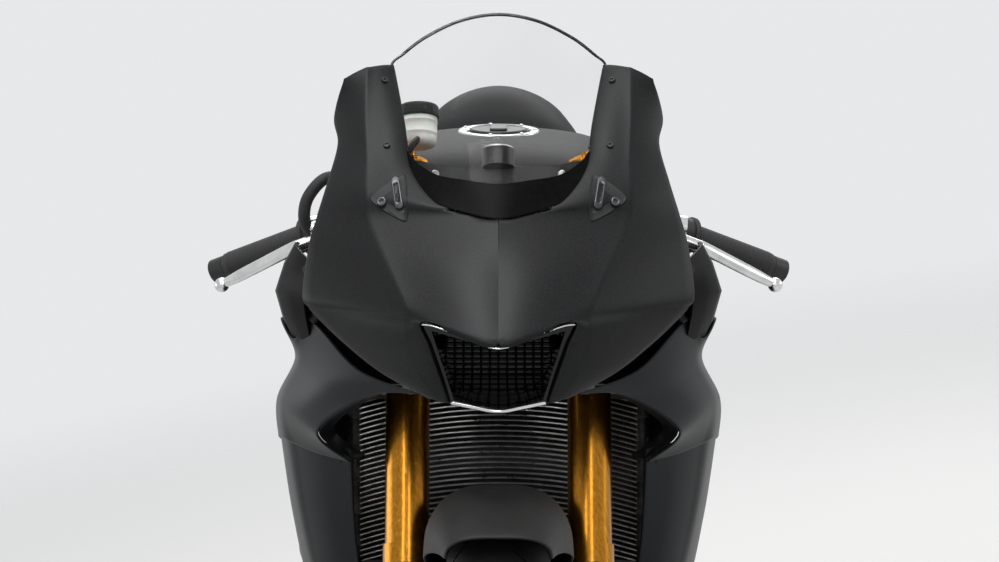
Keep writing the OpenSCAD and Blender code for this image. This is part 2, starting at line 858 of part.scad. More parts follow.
// bulge of each half rib toward the front
cowl_full = [[4, 3], [5, 4], [5, 4], [7, 4], [10, 4], [11, 4], [9, 4], [4, 4], [1, 4], [1, 3], [1, 2],
  [0, 0.5]];
function part_of(s, k) = [s[k], s[k + 1], s[k + 2]];
function rib(s, f) = let (a = part_of(s, 0), c = part_of(s, 3), b = part_of(s, 6)) concat(
  [for (t = [0, 0.33, 0.67]) a + (c - a) * t + [0.3, -0.8, 0.3] * f[0] * 4 * t * (1 - t)],
  [for (t = [0, 0.33, 0.67, 1]) c + (b - c) * t + [0.7, -0.6, 0.2] * f[1] * 4 * t * (1 - t)]);
cowl_ribs = [for (i = [0 : len(cowl_rows) - 1]) rib(cowl_rows[i], cowl_full[i])];
module front_cowl() {
  color("#3d4044")
    translate([0, nose, 0]) {
      pair()
        sheet(fine(cowl_ribs, 2), -wall);
      // mirror blanking plugs beside the screen
      pair()
        translate([138, -608, 950])
          rotate([62, 0, 32])
            cylinder(r = 9, h = 12, $fn = 24);
    }
}
screen_rows = [
  [[0, -655, 945], [35, -645, 951], [67, -629, 958], [86, -608, 968], [100, -585, 980]],
  [[0, -622, 985], [36, -614, 988], [68, -597, 991], [92, -571, 1001], [106, -547, 1014]],
  [[0, -577, 1032], [38, -572, 1032], [72, -555, 1031], [98, -532, 1033], [112, -513, 1042]],
  [[0, -507, 1094], [40, -505, 1091], [76, -496, 1083], [103, -482, 1074], [120, -471, 1072]],
  [[0, -420, 1158], [45, -424, 1151], [85, -433, 1133], [112, -442, 1114], [127, -450, 1100]]];
module windscreen() {
  color("#aab4ba", 0.4)
    translate([0, nose, 0])
      sheet(turn(fine(turn(fine([for (r = screen_rows) both(r)], 3)), 2)), screen_wall);
}
// W-shaped mouth in the front view
mouth = [[0, 819], [86, 838], [57, 750], [30, 745], [0, 743], [-30, 745], [-57, 750], [-86, 838]];
module mouth_prism(grow, y0, y1) {
  translate([0, y1, 790])
    rotate([90, 0, 0])
      linear_extrude(y1 - y0)
        polygon([for (p = mouth) [p[0] * grow, (p[1] - 790) * grow]]);
}
module nose_intake() {
  color("#0f0f10")
    translate([0, nose, 0])
      difference() {
        intersection() {
          mouth_prism(1, -800, -640);
          translate([0, 0, 700])
            linear_extrude(200)
              polygon([[0, -771], [90, -733], [90, -640], [-90, -640], [-90, -733]]);
        }
        translate([0, 0, -1])
          mouth_prism(0.88, -800, -655);
      }
}
// dark lamps that close the slot between cowl and fairing: x, y, z of the upper and of the lower edge
lamp_rows = [[102, -684, 762, 100, -680, 747], [128, -658, 772, 124, -652, 751],
  [168, -612, 797, 162, -612, 760],
  [196, -586, 818, 192, -580, 784], [214, -573, 838, 213, -552, 800], [224, -566, 850, 228, -536, 804]];
module headlamps() {
  color("#17191b")
    translate([0, nose, 0])
      pair()
        loft([for (s = fine(lamp_rows, 2))
          [[s[0], s[1], s[2]], [s[3], s[4], s[5]],
           [s[3] - 6, s[4] + 22, s[5]], [s[0] - 6, s[1] + 22, s[2]]]]);
}
// side fairing, front edge to rear edge, from the top row down
side_rows = [
  [[88, -704, 753], [160, -634, 767], [217, -562, 812], [239, -522, 785], [256, -480, 803], [247, -345, 770],
    [226, -210, 722]],
  [[146, -642, 740], [194, -592, 744], [226, -535, 752], [237, -498, 753], [241, -425, 747], [244, -290, 714],
    [236, -130, 656]],
  [[212, -556, 682], [234, -526, 694], [250, -490, 699], [259, -455, 700], [266, -382, 686], [265, -240, 648],
    [242, -60, 590]],
  [[176, -525, 640], [212, -502, 645], [240, -472, 650], [257, -442, 652], [266, -352, 634], [261, -210, 596],
    [236, -20, 528]],
  [[172, -455, 532], [202, -444, 538], [226, -422, 542], [240, -398, 544], [251, -318, 530], [247, -180, 496],
    [224, 6, 440]],
  [[160, -402, 430], [184, -395, 432], [203, -380, 431], [216, -358, 430], [227, -298, 418], [223, -174, 396],
    [200, 20, 362]],
  [[132, -376, 336], [146, -371, 333], [158, -361, 329], [168, -342, 325], [177, -284, 316], [175, -176, 302],
    [163, 24, 286]]];
// lower panel tucked behind the upper one: inset of its top edge, from front to rear
side_tuck = [1.5, 1.5, 1.5, 2, 2, 9, 15];
side_upper = [for (i = [0 : 3]) side_rows[i]];
tucked = [for (j = [0 : 6]) side_rows[3][j] + [-side_tuck[j], 0, 12]];
side_lower = concat([tucked], [for (i = [4 : 6]) side_rows[i]]);
module side_fairing() {
  sheet(fine(turn(fine(turn(side_upper), 2)), 2), -wall);
  sheet(fine(turn(fine(turn(side_lower), 2)), 2), -wall);
}
module side_fairing_left() {
  color("#3b3f45")
    translate([0, nose, 0])
      side_fairing();
}
module side_fairing_right() {
  color("#3b3f45")
    translate([0, nose, 0])
      mirror([1, 0, 0])
        side_fairing();
}
// belly pan: y, then x and z from the middle up to the top edge
belly_rows = [[-366, 0, 218, 58, 224, 108, 262, 129, 332], [-290, 0, 178, 76, 186, 134, 232, 174, 316],
  [-176, 0, 160, 88, 168, 146, 212, 172, 302], [24, 0, 166, 82, 172, 138, 208, 160, 286]];
function keel(s) = both([for (k = [1, 3, 5, 7]) [s[k], s[0], s[k + 1]]]);
module belly_pan() {
  color("#3b3f45")
    translate([0, nose, 0])
      sheet(turn(fine(turn(fine([for (s = belly_rows) keel(s)], 2)), 2)), -wall);
}
panel_rows = [
  [[214, -586, 884], [236, -532, 896], [235, -488, 894]],
  [[225, -586, 850], [256, -532, 843], [261, -486, 837]],
  [[219, -558, 797], [237, -514, 778], [240, -474, 778]]];
// duct from the fairing's front edge back to the radiator
duct_rows = [[[152, -633, 738], [170, -520, 728], [186, -424, 720]],
  [[218, -546, 687], [206, -480, 688], [186, -424, 690]],
  [[188, -515, 640], [190, -462, 640], [185, -424, 640]],
  [[182, -449, 536], [184, -436, 536], [184, -424, 536]]];
module inner_panels() {
  color("#151516")
    translate([0, nose, 0])
      pair()
      {
        sheet(fine(turn(fine(turn(panel_rows), 2)), 2), -wall);
        sheet(fine(turn(fine(turn(duct_rows), 1)), 2), wall);
      }
}
module instrument_cluster() {
  color("#18191a")
    translate([0, -562 + nose, 914])
      rotate([-38, 0, 0]) {
        linear_extrude(30)
          polygon([[-78, 26], [-60, 36], [60, 36], [78, 26], [74, -30], [40, -42], [-40, -42], [-74, -30]]);
        linear_extrude(33)
          polygon([[-64, 22], [64, 22], [60, -26], [-60, -26]]);
      }
}
module fairing_stay() {
  color("#2a2b2d")
    translate([0, nose, 0]) {
      rod([0, -476, 820], [0, -560, 900], 13);
      rod([0, -560, 900], [0, -540, 972], 9);
      pair() {
        rod([0, -558, 898], [132, -596, 938], 8);
        rod([0, -540, 880], [70, -660, 800], 8);
        rod([35, -600, 840], [212, -560, 826], 7);
      }
    }
}
// foot rest carrier, peg and pedal; side is 1 on the left, -1 on the right
module rearset(side) {
  mirror([side < 0 ? 1 : 0, 0, 0]) {
    slab(165, 175, [[96, 540], [124, 520], [150, 452], [236, 420], [246, 396], [226, 380], [120, 398],
      [88, 470]]);
    rod([170, 222, 400], [262, 222, 404], 11);
    slab(176, 180, [[196, 452], [262, 470], [276, 430], [240, 392], [206, 410]]);
    slab(174, 177, [[206, 440], [230, 440], [230, 404], [206, 404]]);
    // pedal forward of the peg with its toe piece
    rod([180, 214, 392], [182, 92, 372], 6);
    rod([182, 92, 372], [226, 88, 374], 7);
    rod([174, 214, 392], [184, 214, 392], 9);
  }
}
module rearset_left() {
  color("#3a3c3f")
    rearset(1);
}
module rearset_right() {
  color("#3a3c3f")
    rearset(-1);
}

// chain run: sprocket centres in the side view
run_d = [rear_y - spr[1], rear_z - spr[2]];
run_a = atan2(run_d[1], run_d[0]);
run_b = asin((rear_pr - front_pr) / norm(run_d));
function around(c, r, a) = [c[0] + r * cos(a), c[1] + r * sin(a)];
function chain_loop(grow) = concat(
  [for (i = [0 : 12])
    around([rear_y, rear_z], rear_pr + grow, run_a - 90 - run_b + (180 + 2 * run_b) * i / 12)],
  [for (i = [0 : 6])
    around([spr[1], spr[2]], front_pr + grow, run_a + 90 + run_b + (180 - 2 * run_b) * i / 6)]);
module chain() {
  color("#8d8b86") {
    for (x = [-8.5, 5])
      translate([chain_x + x, 0, 0])
        rotate([90, 0, 90])
          linear_extrude(3.5)
            difference() {
              polygon(chain_loop(6.6));
              polygon(chain_loop(-6.6));
            }
    // rollers on the rear sprocket and along both runs
    step = 360 / rear_teeth;
    first = ceil((run_a - 90 - run_b) / step - 0.5) + 0.5;
    count = floor((180 + 2 * run_b) / step);
    for (i = [0 : count])
      roller(around([rear_y, rear_z], rear_pr, (first + i) * step));
    links = floor(norm(run_d) * cos(run_b) / pitch) - 1;
    for (s = [-1, 1])
      let (a = run_a + s * (90 + run_b),
        p = around([rear_y, rear_z], rear_pr, (s > 0 ? first + count : first) * step),
        q = around([spr[1], spr[2]], front_pr, a))
        for (i = [1 : links])
          roller(p + (q - p) / norm(q - p) * pitch * i);
  }
}
module roller(p) {
  translate([0, p[0], p[1]])
    rotate([0, 90, 0])
      translate([0, 0, chain_x - 5.5])
        cylinder(r = 4.9, h = 11, $fn = 6);
}
module sprocket_cover() {
  color("#1f2023")
    difference() {
      slab(94, 132, [[-70, 470], [-20, 478], [50, 470], [64, 450],
        [68, 352], [52, 330], [-30, 326], [-70, 350]]);
      slab(93, 124, [[-62, 462], [-20, 470], [90, 462], [90, 340], [-30, 334], [-62, 356]]);
    }
}
// hugger over the front of the rear tyre: angle ahead of the top, crown radius, side radius, half width
hug_rows = [[-18, 335, 318, 66], [10, 336, 300, 92], [38, 336, 286, 97],
  [66, 336, 292, 92], [84, 336, 306, 78]];
function hug(s) = both([for (c = [[0, 0], [0.5, 0.05], [0.82, 0.3], [1, 1]])
  let (r = s[1] + (s[2] - s[1]) * c[1]) [s[3] * c[0], -r * sin(s[0]), r * cos(s[0])]]);
module rear_hugger() {
  color("#1b1c1d") {
    at_rear()
      sheet([for (s = fine(hug_rows, 3)) hug(s)], -3);
    // stays down to the arms
    rod([-92, 402, 470], [-122, 372, 398], 6);
    slab(-30, 30, [[226, 400], [350, 372], [350, 380], [226, 410]]);
  }
}
module rear_caliper() {
  color("#26272a")
    at_rear()
      difference() {
        union() {
          rotate([36, 0, 0])
            translate([-108, -36, 64])
              cube([50, 72, 62]);
          rotate([36, 0, 0])
            translate([-119, -24, 20])
              cube([12, 48, 90]);
          across(24, -118, -107);
        }
        across(axle_r, -160, -40);
        rotate([36, 0, 0])
          translate([-86.5, -60, 40])
            cube([11, 120, 74]);
      }
}
// side stand, hinged at stand_top, with its foot flat on the ground
module side_stand() {
  ankle = [stand_x - 4, stand_y, foot_z + 5];
  hip = stand_top + [0, -1, -6];
  color("#2c2d2f") {
    translate(stand_top)
      rotate([0, -stand_tilt, 0])
        difference() {
          union() {
            across(13, -8.5, 8.5);
            slab(-8.5, 8.5, [[-12, 0], [12, 0], [8, -34], [-14, -34]]);
          }
          across(stand_pin_r + run_fit, -20, 20);
        }
    rod(stand_top + [7, -6, -24], ankle, 10);
    translate([stand_x, stand_y, foot_z])
      rotate([0, -lean, 0])
        linear_extrude(9)
          polygon([[-24, -22], [-14, -34], [26, -34], [34, -24], [34, 26], [24, 36], [-14, 36], [-24, 24]]);
    // tang for the rider's foot
    rod(ankle + (hip - ankle) * 0.14, ankle + (hip - ankle) * 0.14 + [44, 14, 10], 6);
  }
}

// parked attitude: lean to the left about the tyre line, both tyres on the ground
module parked() {
  translate([-end_z * sin(lean), 0, lift])
    rotate([0, lean, 0])
      children();
}
parked() {
  main_frame();
  subframe();
  swingarm();
  rear_shock();
  rear_axle();
  engine();
  engine_covers();
  radiator();
  exhaust();
  fuel_tank();
  fuel_cap();
  rider_seat();
  tail_cowl();
  tail_light();
  front_cowl();
  windscreen();
  nose_intake();
  headlamps();
  side_fairing_left();
  side_fairing_right();
  belly_pan();
  inner_panels();
  instrument_cluster();
  fairing_stay();
  rearset_left();
  rearset_right();
  chain();
  sprocket_cover();
  rear_hugger();
  rear_caliper();
  triple_clamps();
  fork_tubes();
  fork_legs();
  front_axle();
  front_mudguard();
  front_calipers();
  handlebars();
  grips();
  levers();
  brake_reservoir();
  front_tyre();
  front_rim();
  front_discs();
  rear_tyre();
  rear_rim();
  rear_sprocket();
  rear_disc();
  side_stand();
}
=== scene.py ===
"""Looks of a faired sport motorcycle that leans on its side stand, seen from the front."""
import json
import math

import bmesh
import bpy
from mathutils import Matrix, Vector, noise
from mathutils.bvhtree import BVHTree


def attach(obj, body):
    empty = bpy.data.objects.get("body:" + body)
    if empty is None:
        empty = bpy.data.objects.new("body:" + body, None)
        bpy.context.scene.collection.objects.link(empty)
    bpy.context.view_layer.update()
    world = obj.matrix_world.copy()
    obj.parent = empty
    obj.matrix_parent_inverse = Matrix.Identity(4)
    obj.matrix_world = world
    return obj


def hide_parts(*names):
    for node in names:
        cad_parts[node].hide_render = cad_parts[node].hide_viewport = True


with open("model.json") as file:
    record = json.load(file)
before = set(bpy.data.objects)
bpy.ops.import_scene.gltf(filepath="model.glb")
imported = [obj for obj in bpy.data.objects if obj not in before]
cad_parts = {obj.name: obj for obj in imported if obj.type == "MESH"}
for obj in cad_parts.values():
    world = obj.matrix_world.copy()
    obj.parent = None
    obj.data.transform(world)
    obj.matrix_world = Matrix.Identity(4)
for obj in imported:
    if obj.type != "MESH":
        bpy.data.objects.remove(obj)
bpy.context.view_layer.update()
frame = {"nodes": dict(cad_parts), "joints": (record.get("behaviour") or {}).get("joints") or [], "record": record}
NODES = frame["nodes"]
MM = 0.001

# Parked attitude and tyres as in the solids: the machine leans about the tyre line
LEAN, RAKE = math.radians(10), math.radians(24)
FRONT_RADIUS, FRONT_CROWN = 300.0, 62.0
REAR_RADIUS, REAR_CROWN = 315.0, 103.0
JOINTS = {j["name"]: j for j in frame["joints"]}
FRONT_AXLE = JOINTS["front_wheel_spin"]["pos_m"]
FRONT_Y = FRONT_AXLE[1] / MM
REAR_Y = JOINTS["rear_wheel_spin"]["pos_m"][1] / MM
FRONT_Z = FRONT_RADIUS
REAR_Z = REAR_RADIUS + (REAR_CROWN - FRONT_CROWN) * (1 - math.cos(LEAN))
LIFT = FRONT_CROWN * (1 - math.cos(LEAN))
SHIFT = FRONT_AXLE[0] / MM - FRONT_Z * math.sin(LEAN)

# Upright machine in millimetres to the row frame in metres
PARKED = (Matrix.Scale(MM, 4)
          @ Matrix.Translation((SHIFT, 0, LIFT))
          @ Matrix.Rotation(LEAN, 4, "Y"))
STEER = PARKED @ Matrix.Translation((0, FRONT_Y, FRONT_Z)) @ Matrix.Rotation(-RAKE, 4, "X")
FRONT_WHEEL = PARKED @ Matrix.Translation((0, FRONT_Y, FRONT_Z))
REAR_WHEEL = PARKED @ Matrix.Translation((0, REAR_Y, REAR_Z))

# Used by many pieces: upward, left and right side, panel wall, and a place ahead of the nose for ray casts
UP = Vector((0, 0, 1))
SIDES = Vector((1, 1, 1)), Vector((-1, 1, 1))
WALL = 3.5
AHEAD = -1200.0


# Camera: long lens, a little above the nose, rolled with the machine so that it shows upright
def add_camera():
    tilt = math.radians(9.0)
    distance, mm_per_pixel = 5000.0, 1.2
    pixels, sensor = 999.0, 36.0
    middle, raised = Vector((1.2, -430.0, 830.0)), 9.0
    target = middle + raised * Vector((0, math.sin(tilt), math.cos(tilt)))
    data = bpy.data.cameras.new("camera")
    data.sensor_fit = "HORIZONTAL"
    data.sensor_width = sensor
    data.lens = distance / mm_per_pixel / pixels * sensor
    data.clip_end = 100.0
    cam = bpy.data.objects.new("camera", data)
    bpy.context.collection.objects.link(cam)
    place = Matrix.Translation(target + distance * Vector((0, -math.cos(tilt), math.sin(tilt))))
    upright = place @ Matrix.Rotation(math.radians(90) - tilt, 4, "X")
    turn = Matrix.Rotation(LEAN, 4, "Y") @ upright.to_3x3().to_4x4()
    cam.matrix_world = Matrix.Translation((PARKED @ upright.translation)) @ turn
    bpy.context.scene.camera = cam


# Values for the inputs of a node, whose names have underscores here for spaces
def fill(node, **values):
    for key, value in values.items():
        node.inputs[key.replace("_", " ")].default_value = value
    return node


def add_node(tree, kind, **values):
    return fill(tree.nodes.new(kind), **values)


def join(source, output, target, entry):
    source.id_data.links.new(source.outputs[output], target.inputs[entry])


def new_material(name):
    mat = bpy.data.materials.new(name)
    mat.use_nodes = True
    return mat, mat.node_tree, mat.node_tree.nodes["Principled BSDF"]


# Pale round floor that fades into the background, so that it looks the same from every side
def add_stage():
    mat, tree, shader = new_material("studio_floor")
    fill(shader, Roughness=0.8)
    grain = add_node(tree, "ShaderNodeTexNoise", Scale=3.0)
    ramp = add_node(tree, "ShaderNodeValToRGB")
    ramp.color_ramp.elements[0].color = (0.70, 0.70, 0.69, 1)
    ramp.color_ramp.elements[1].color = (0.75, 0.75, 0.74, 1)
    join(grain, "Fac", ramp, "Fac")
    join(ramp, "Color", shader, "Base Color")
    coords = add_node(tree, "ShaderNodeTexCoord")
    reach = add_node(tree, "ShaderNodeVectorMath")
    reach.operation = "LENGTH"
    fade = add_node(tree, "ShaderNodeMapRange", From_Min=1.4, From_Max=4.4, To_Min=1.0, To_Max=0.0)
    fade.interpolation_type = "SMOOTHSTEP"
    join(coords, "Object", reach, 0)
    join(reach, "Value", fade, "Value")
    join(fade, "Result", shader, "Alpha")
    bm = bmesh.new()
    bmesh.ops.create_circle(bm, cap_ends=True, segments=96, radius=4.6)
    mesh = bpy.data.meshes.new("studio_floor")
    bm.to_mesh(mesh)
    bm.free()
    floor = bpy.data.objects.new("studio_floor", mesh)
    floor.data.materials.append(mat)
    bpy.context.collection.objects.link(floor)


def add_lamp(name, at, aim, size, watts):
    data = bpy.data.lights.new(name, "AREA")
    data.shape = "RECTANGLE"
    data.size, data.size_y = size
    data.energy = watts
    lamp = bpy.data.objects.new(name, data)
    bpy.context.collection.objects.link(lamp)
    lamp.location = at
    lamp.rotation_euler = (Vector(aim) - Vector(at)).to_track_quat("-Z", "Y").to_euler()


# Even backdrop for the camera and reflections, which lights the machine less; lamps in metres and watts
def add_lights():
    world = bpy.data.worlds.new("studio")
    bpy.context.scene.world = world
    world.use_nodes = True
    tree = world.node_tree
    back = fill(tree.nodes["Background"], Color=(0.80, 0.81, 0.82, 1))
    path = add_node(tree, "ShaderNodeLightPath")
    seen, output = path, "Is Camera Ray"
    for ray in ("Is Glossy Ray", "Is Transmission Ray"):
        either = add_node(tree, "ShaderNodeMath")
        either.operation = "MAXIMUM"
        join(seen, output, either, 0)
        join(path, ray, either, 1)
        seen, output = either, 0
    level = add_node(tree, "ShaderNodeMapRange", To_Min=0.3, To_Max=1.0)
    join(seen, output, level, "Value")
    join(level, "Result", back, "Strength")
    add_lamp("key", (0.1, -1.5, 4.2), (0.05, -0.6, 0.9), (1.3, 1.3), 100)
    for side, name in ((-3.4, "left"), (3.6, "right")):
        add_lamp(name, (side, 0.6, 1.3), (0, 0.0, 0.6), (2.6, 1.2), 25)
    for side in (-1, 1):
        add_lamp("strip", (side * 0.75, -3.0, 2.5), (0, -0.6, 0.6), (0.12, 1.1), 9)
    add_lamp("top", (0.0, 0.9, 4.2), (0, 0.3, 0.6), (2.4, 2.4), 42)
    add_lamp("rim", (0.6, 3.0, 2.6), (0, 0.2, 0.8), (2.4, 1.2), 44)


add_camera()
add_stage()
add_lights()
bpy.context.scene.view_settings.view_transform = "Standard"


# Finishes: two tones, span of roughness and relief, all procedural, on a principled shader
MATERIALS = {}


def surface(name, dark, light, rough, metal, scale, bump, bump_scale=400.0, detail=4.0,
            stretch=(1, 1, 1), grain="noise", **sockets):
    mat, tree, shader = new_material(name)
    fill(shader, Metallic=metal, **sockets)
    coords = add_node(tree, "ShaderNodeTexCoord")
    mapping = add_node(tree, "ShaderNodeMapping", Scale=stretch)
    join(coords, "Object", mapping, "Vector")
    tone = add_node(tree, "ShaderNodeTexNoise", Scale=scale, Detail=detail)
    join(mapping, "Vector", tone, "Vector")
    ramp = add_node(tree, "ShaderNodeValToRGB")
    ramp.color_ramp.elements[0].position = 0.32
    ramp.color_ramp.elements[1].position = 0.68
    ramp.color_ramp.elements[0].color = (*dark, 1)
    ramp.color_ramp.elements[1].color = (*light, 1)
    join(tone, "Fac", ramp, "Fac")
    join(ramp, "Color", shader, "Base Color")
    span = add_node(tree, "ShaderNodeMapRange", To_Min=rough[0], To_Max=rough[1])
    join(tone, "Fac", span, "Value")
    join(span, "Result", shader, "Roughness")
    kind, height = ("Voronoi", "Distance") if grain == "cells" else ("Noise", "Fac")
    grit = add_node(tree, "ShaderNodeTex" + kind, Scale=bump_scale)
    join(mapping, "Vector", grit, "Vector")
    relief = add_node(tree, "ShaderNodeBump", Strength=bump, Distance=0.001)
    join(grit, height, relief, "Height")
    join(relief, "Normal", shader, "Normal")
    MATERIALS[name] = mat


def grey(v, tint=(1, 1, 1)):
    return tuple(v * t for t in tint)


# Tints, the fine flake of the paints, and each finish: tones, roughness, metal, scale of the tones, relief
COOL = (0.97, 1.0, 1.05)
BLUE = (0.88, 1.0, 1.2)
FLAKE = {"bump_scale": 1500.0, "detail": 2.0}
surface("cowl_paint", grey(0.006, COOL), grey(0.018, COOL), (0.38, 0.5), 0.25, 900.0, 0.06,
        Specular_IOR_Level=0.15, **FLAKE)
surface("side_paint", grey(0.006, BLUE), grey(0.015, BLUE), (0.36, 0.46), 0.35, 900.0, 0.04,
        Specular_IOR_Level=0.2, **FLAKE)
surface("tank_paint", grey(0.010, COOL), grey(0.024, COOL), (0.42, 0.54), 0.0, 900.0, 0.06,
        Specular_IOR_Level=0.04, **FLAKE)
surface("gloss_black", grey(0.002), grey(0.005), (0.05, 0.12), 0.0, 30.0, 0.01, Specular_IOR_Level=0.35)
# Matte black of the screen's lowest rows and of the panels beside the fork; on the intake duct and grille it is
# painted shade
surface("matte_black_and_painted_shade", grey(0.002), grey(0.004), (0.34, 0.44), 0.0, 200.0, 0.05, 2000.0, Specular_IOR_Level=0.03)
surface("black_plastic", grey(0.004), grey(0.009), (0.5, 0.65), 0.0, 60.0, 0.12, 1200.0,
        Specular_IOR_Level=0.3)
surface("fin", grey(0.05), grey(0.09), (0.35, 0.5), 1.0, 150.0, 0.05)
surface("black_metal", grey(0.012), grey(0.022), (0.38, 0.5), 0.4, 50.0, 0.06)
surface("frame_metal", grey(0.06, COOL), grey(0.1, COOL), (0.32, 0.45), 0.9, 24.0, 0.04)
surface("engine_metal", grey(0.025), grey(0.045), (0.45, 0.6), 0.6, 90.0, 0.16)
surface("gold", (0.32, 0.13, 0.012), (0.45, 0.2, 0.026), (0.2, 0.3), 1.0, 60.0, 0.03, stretch=(6, 6, 0.6))
surface("steel", grey(0.42), grey(0.58), (0.22, 0.38), 1.0, 80.0, 0.04)
surface("bright", grey(0.55), grey(0.7), (0.16, 0.28), 1.0, 50.0, 0.02)
surface("radiator", grey(0.03), grey(0.06), (0.35, 0.5), 0.7, 120.0, 0.08)
surface("exhaust", (0.26, 0.22, 0.17), (0.42, 0.39, 0.35), (0.22, 0.38), 1.0, 9.0, 0.03)
surface("tyre", grey(0.009), grey(0.018), (0.7, 0.85), 0.0, 45.0, 0.15, 700.0)
surface("rubber", grey(0.008), grey(0.014), (0.65, 0.8), 0.0, 60.0, 0.2, 600.0)
surface("seat", grey(0.01), grey(0.018), (0.5, 0.62), 0.0, 30.0, 0.25, 500.0, grain="cells")
surface("clear", grey(0.93), grey(0.97), (0.01, 0.03), 0.0, 8.0, 0.0, Transmission_Weight=1.0, IOR=1.06)
surface("lens", grey(0.004), grey(0.008), (0.06, 0.12), 0.0, 20.0, 0.02)
surface("red_lens", (0.25, 0.008, 0.008), (0.4, 0.015, 0.015), (0.06, 0.12), 0.0, 60.0, 0.02,
        Transmission_Weight=0.3)
surface("cup", (0.62, 0.62, 0.58), (0.75, 0.75, 0.7), (0.25, 0.35), 0.0, 20.0, 0.02, Subsurface_Weight=0.2)


# Shading of the carried-over solids and the treads: smooth, apart from edges that bend past an angle
def shade_group(angle):
    group = bpy.data.node_groups.new("shade_by_angle", "GeometryNodeTree")
    for way in ("INPUT", "OUTPUT"):
        group.interface.new_socket("Geometry", in_out=way, socket_type="NodeSocketGeometry")
    start, end = add_node(group, "NodeGroupInput"), add_node(group, "NodeGroupOutput")
    bend = add_node(group, "GeometryNodeInputMeshEdgeAngle")
    below = add_node(group, "FunctionNodeCompare", B=math.radians(angle))
    below.operation = "LESS_THAN"
    whole = add_node(group, "GeometryNodeSetShadeSmooth")
    edges = add_node(group, "GeometryNodeSetShadeSmooth")
    edges.domain = "EDGE"
    join(bend, "Unsigned Angle", below, "A")
    join(start, 0, whole, "Geometry")
    join(whole, "Geometry", edges, "Geometry")
    join(below, "Result", edges, "Shade Smooth")
    join(edges, "Geometry", end, 0)
    return group


SHADE = shade_group(32)


def shade(obj):
    obj.modifiers.new("shade", "NODES").node_group = SHADE


def dress_node(obj, finish):
    obj.data.materials.clear()
    obj.data.materials.append(MATERIALS[finish])
    if "custom_normal" in obj.data.attributes:
        obj.data.attributes.remove(obj.data.attributes["custom_normal"])
    obj.modifiers.new("weld", "WELD").merge_threshold = 0.00002
    shade(obj)


# The panels beside the fork are of a duller black than the other plastic
DULL = "inner_panels"
for part in frame["record"]["subparts"]:
    dress_node(NODES[part["node"]], "matte_black_and_painted_shade" if part["node"] == DULL else part["material_slot"])


# Smooth curves through the same short tables as the solids
def glide(a, b, c, d, t):
    bend, twist = 2 * a - 5 * b + 4 * c - d, 3 * b - a - 3 * c + d
    return 0.5 * (2 * b + (c - a) * t + bend * t ** 2 + twist * t ** 3)


def fine(rows, k):
    last = len(rows) - 1
    out = []
    for i in range(last):
        near = rows[max(i - 1, 0)], rows[i], rows[i + 1], rows[min(i + 2, last)]
        out += [[glide(*p, s / k) for p in zip(*near)] for s in range(k)]
    return out + [list(rows[last])]


def turned(rows):
    return [list(r) for r in zip(*rows)]


def fine_grid(rows, k, m):
    return fine(turned(fine(turned(rows), m)), k)


def points(rows):
    return [[Vector(p) for p in row] for row in rows]


def flip(p):
    return Vector((-p[0], p[1], p[2]))


def both(row):
    return [flip(p) for p in row[:0:-1]] + list(row)


def facing(grid, i, j):
    n, m = len(grid) - 1, len(grid[0]) - 1
    u = grid[min(i + 1, n)][j] - grid[max(i - 1, 0)][j]
    v = grid[i][min(j + 1, m)] - grid[i][max(j - 1, 0)]
    return u.cross(v).normalized()


# A new piece: mesh in the row frame, on its body, with its finish
def add_piece(name, bm, body, slot_name, place, replaces=(), slots=(), finish=None):
    bmesh.ops.transform(bm, matrix=place, verts=bm.verts)
    mesh = bpy.data.meshes.new(name)
    bm.to_mesh(mesh)
    bm.free()
    obj = bpy.data.objects.new(name, mesh)
    bpy.context.collection.objects.link(obj)
    for s in (finish or slot_name, *slots):
        mesh.materials.append(MATERIALS[s])
    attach(obj, body)
    if replaces:
        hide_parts(*replaces)
    return obj


# Panel with a wall on the far side of its facing and a half-round rim; open_at leaves the rim off
def shell(bm, grid, wall, open_at=None, mirrored=False, paint=None):
    n, m = len(grid), len(grid[0])
    normal = [[facing(grid, i, j) for j in range(m)] for i in range(n)]
    place = flip if mirrored else Vector
    outer = [[bm.verts.new(place(grid[i][j])) for j in range(m)] for i in range(n)]
    inner = [[bm.verts.new(place(grid[i][j] - wall * normal[i][j])) for j in range(m)] for i in range(n)]

    def face(*corners, index=0):
        order = corners if (wall > 0) != mirrored else corners[::-1]
        f = bm.faces.new(order)
        f.smooth = True
        f.material_index = index

    for i in range(n - 1):
        for j in range(m - 1):
            index = paint(i, j) if paint else 0
            face(outer[i][j], outer[i + 1][j], outer[i + 1][j + 1], outer[i][j + 1], index=index)
            face(inner[i][j], inner[i][j + 1], inner[i + 1][j + 1], inner[i + 1][j], index=index)
    border = [(i, 0) for i in range(n)] + [(n - 1, j) for j in range(1, m)]
    border += [(i, m - 1) for i in range(n - 2, -1, -1)] + [(0, j) for j in range(m - 2, 0, -1)]
    rims = []
    for i, j in border:
        at, out = grid[i][j], normal[i][j]
        away = Vector()
        if i in (0, n - 1):
            away += at - grid[1 if i == 0 else n - 2][j]
        if j in (0, m - 1):
            away += (at - grid[i][1 if j == 0 else m - 2]).normalized() * max(away.length, 1.0)
        away -= out * away.dot(out)
        away.normalize()
        if open_at and open_at(at):
            away = Vector()
        over, beside = wall / 2 * out, abs(wall) / 2 * away
        turns = math.pi / 4, math.pi / 2, 3 * math.pi / 4
        curve = [at - over + over * math.cos(a) + beside * math.sin(a) for a in turns]
        rims.append([outer[i][j]] + [bm.verts.new(place(p)) for p in curve] + [inner[i][j]])
    for k, (i, j) in enumerate(border):
        i2, j2 = border[(k + 1) % len(border)]
        if open_at and open_at(grid[i][j]) and open_at(grid[i2][j2]):
            continue
        for q in range(4):
            a, b = rims[k], rims[(k + 1) % len(border)]
            face(a[q], a[q + 1], b[q + 1], b[q])


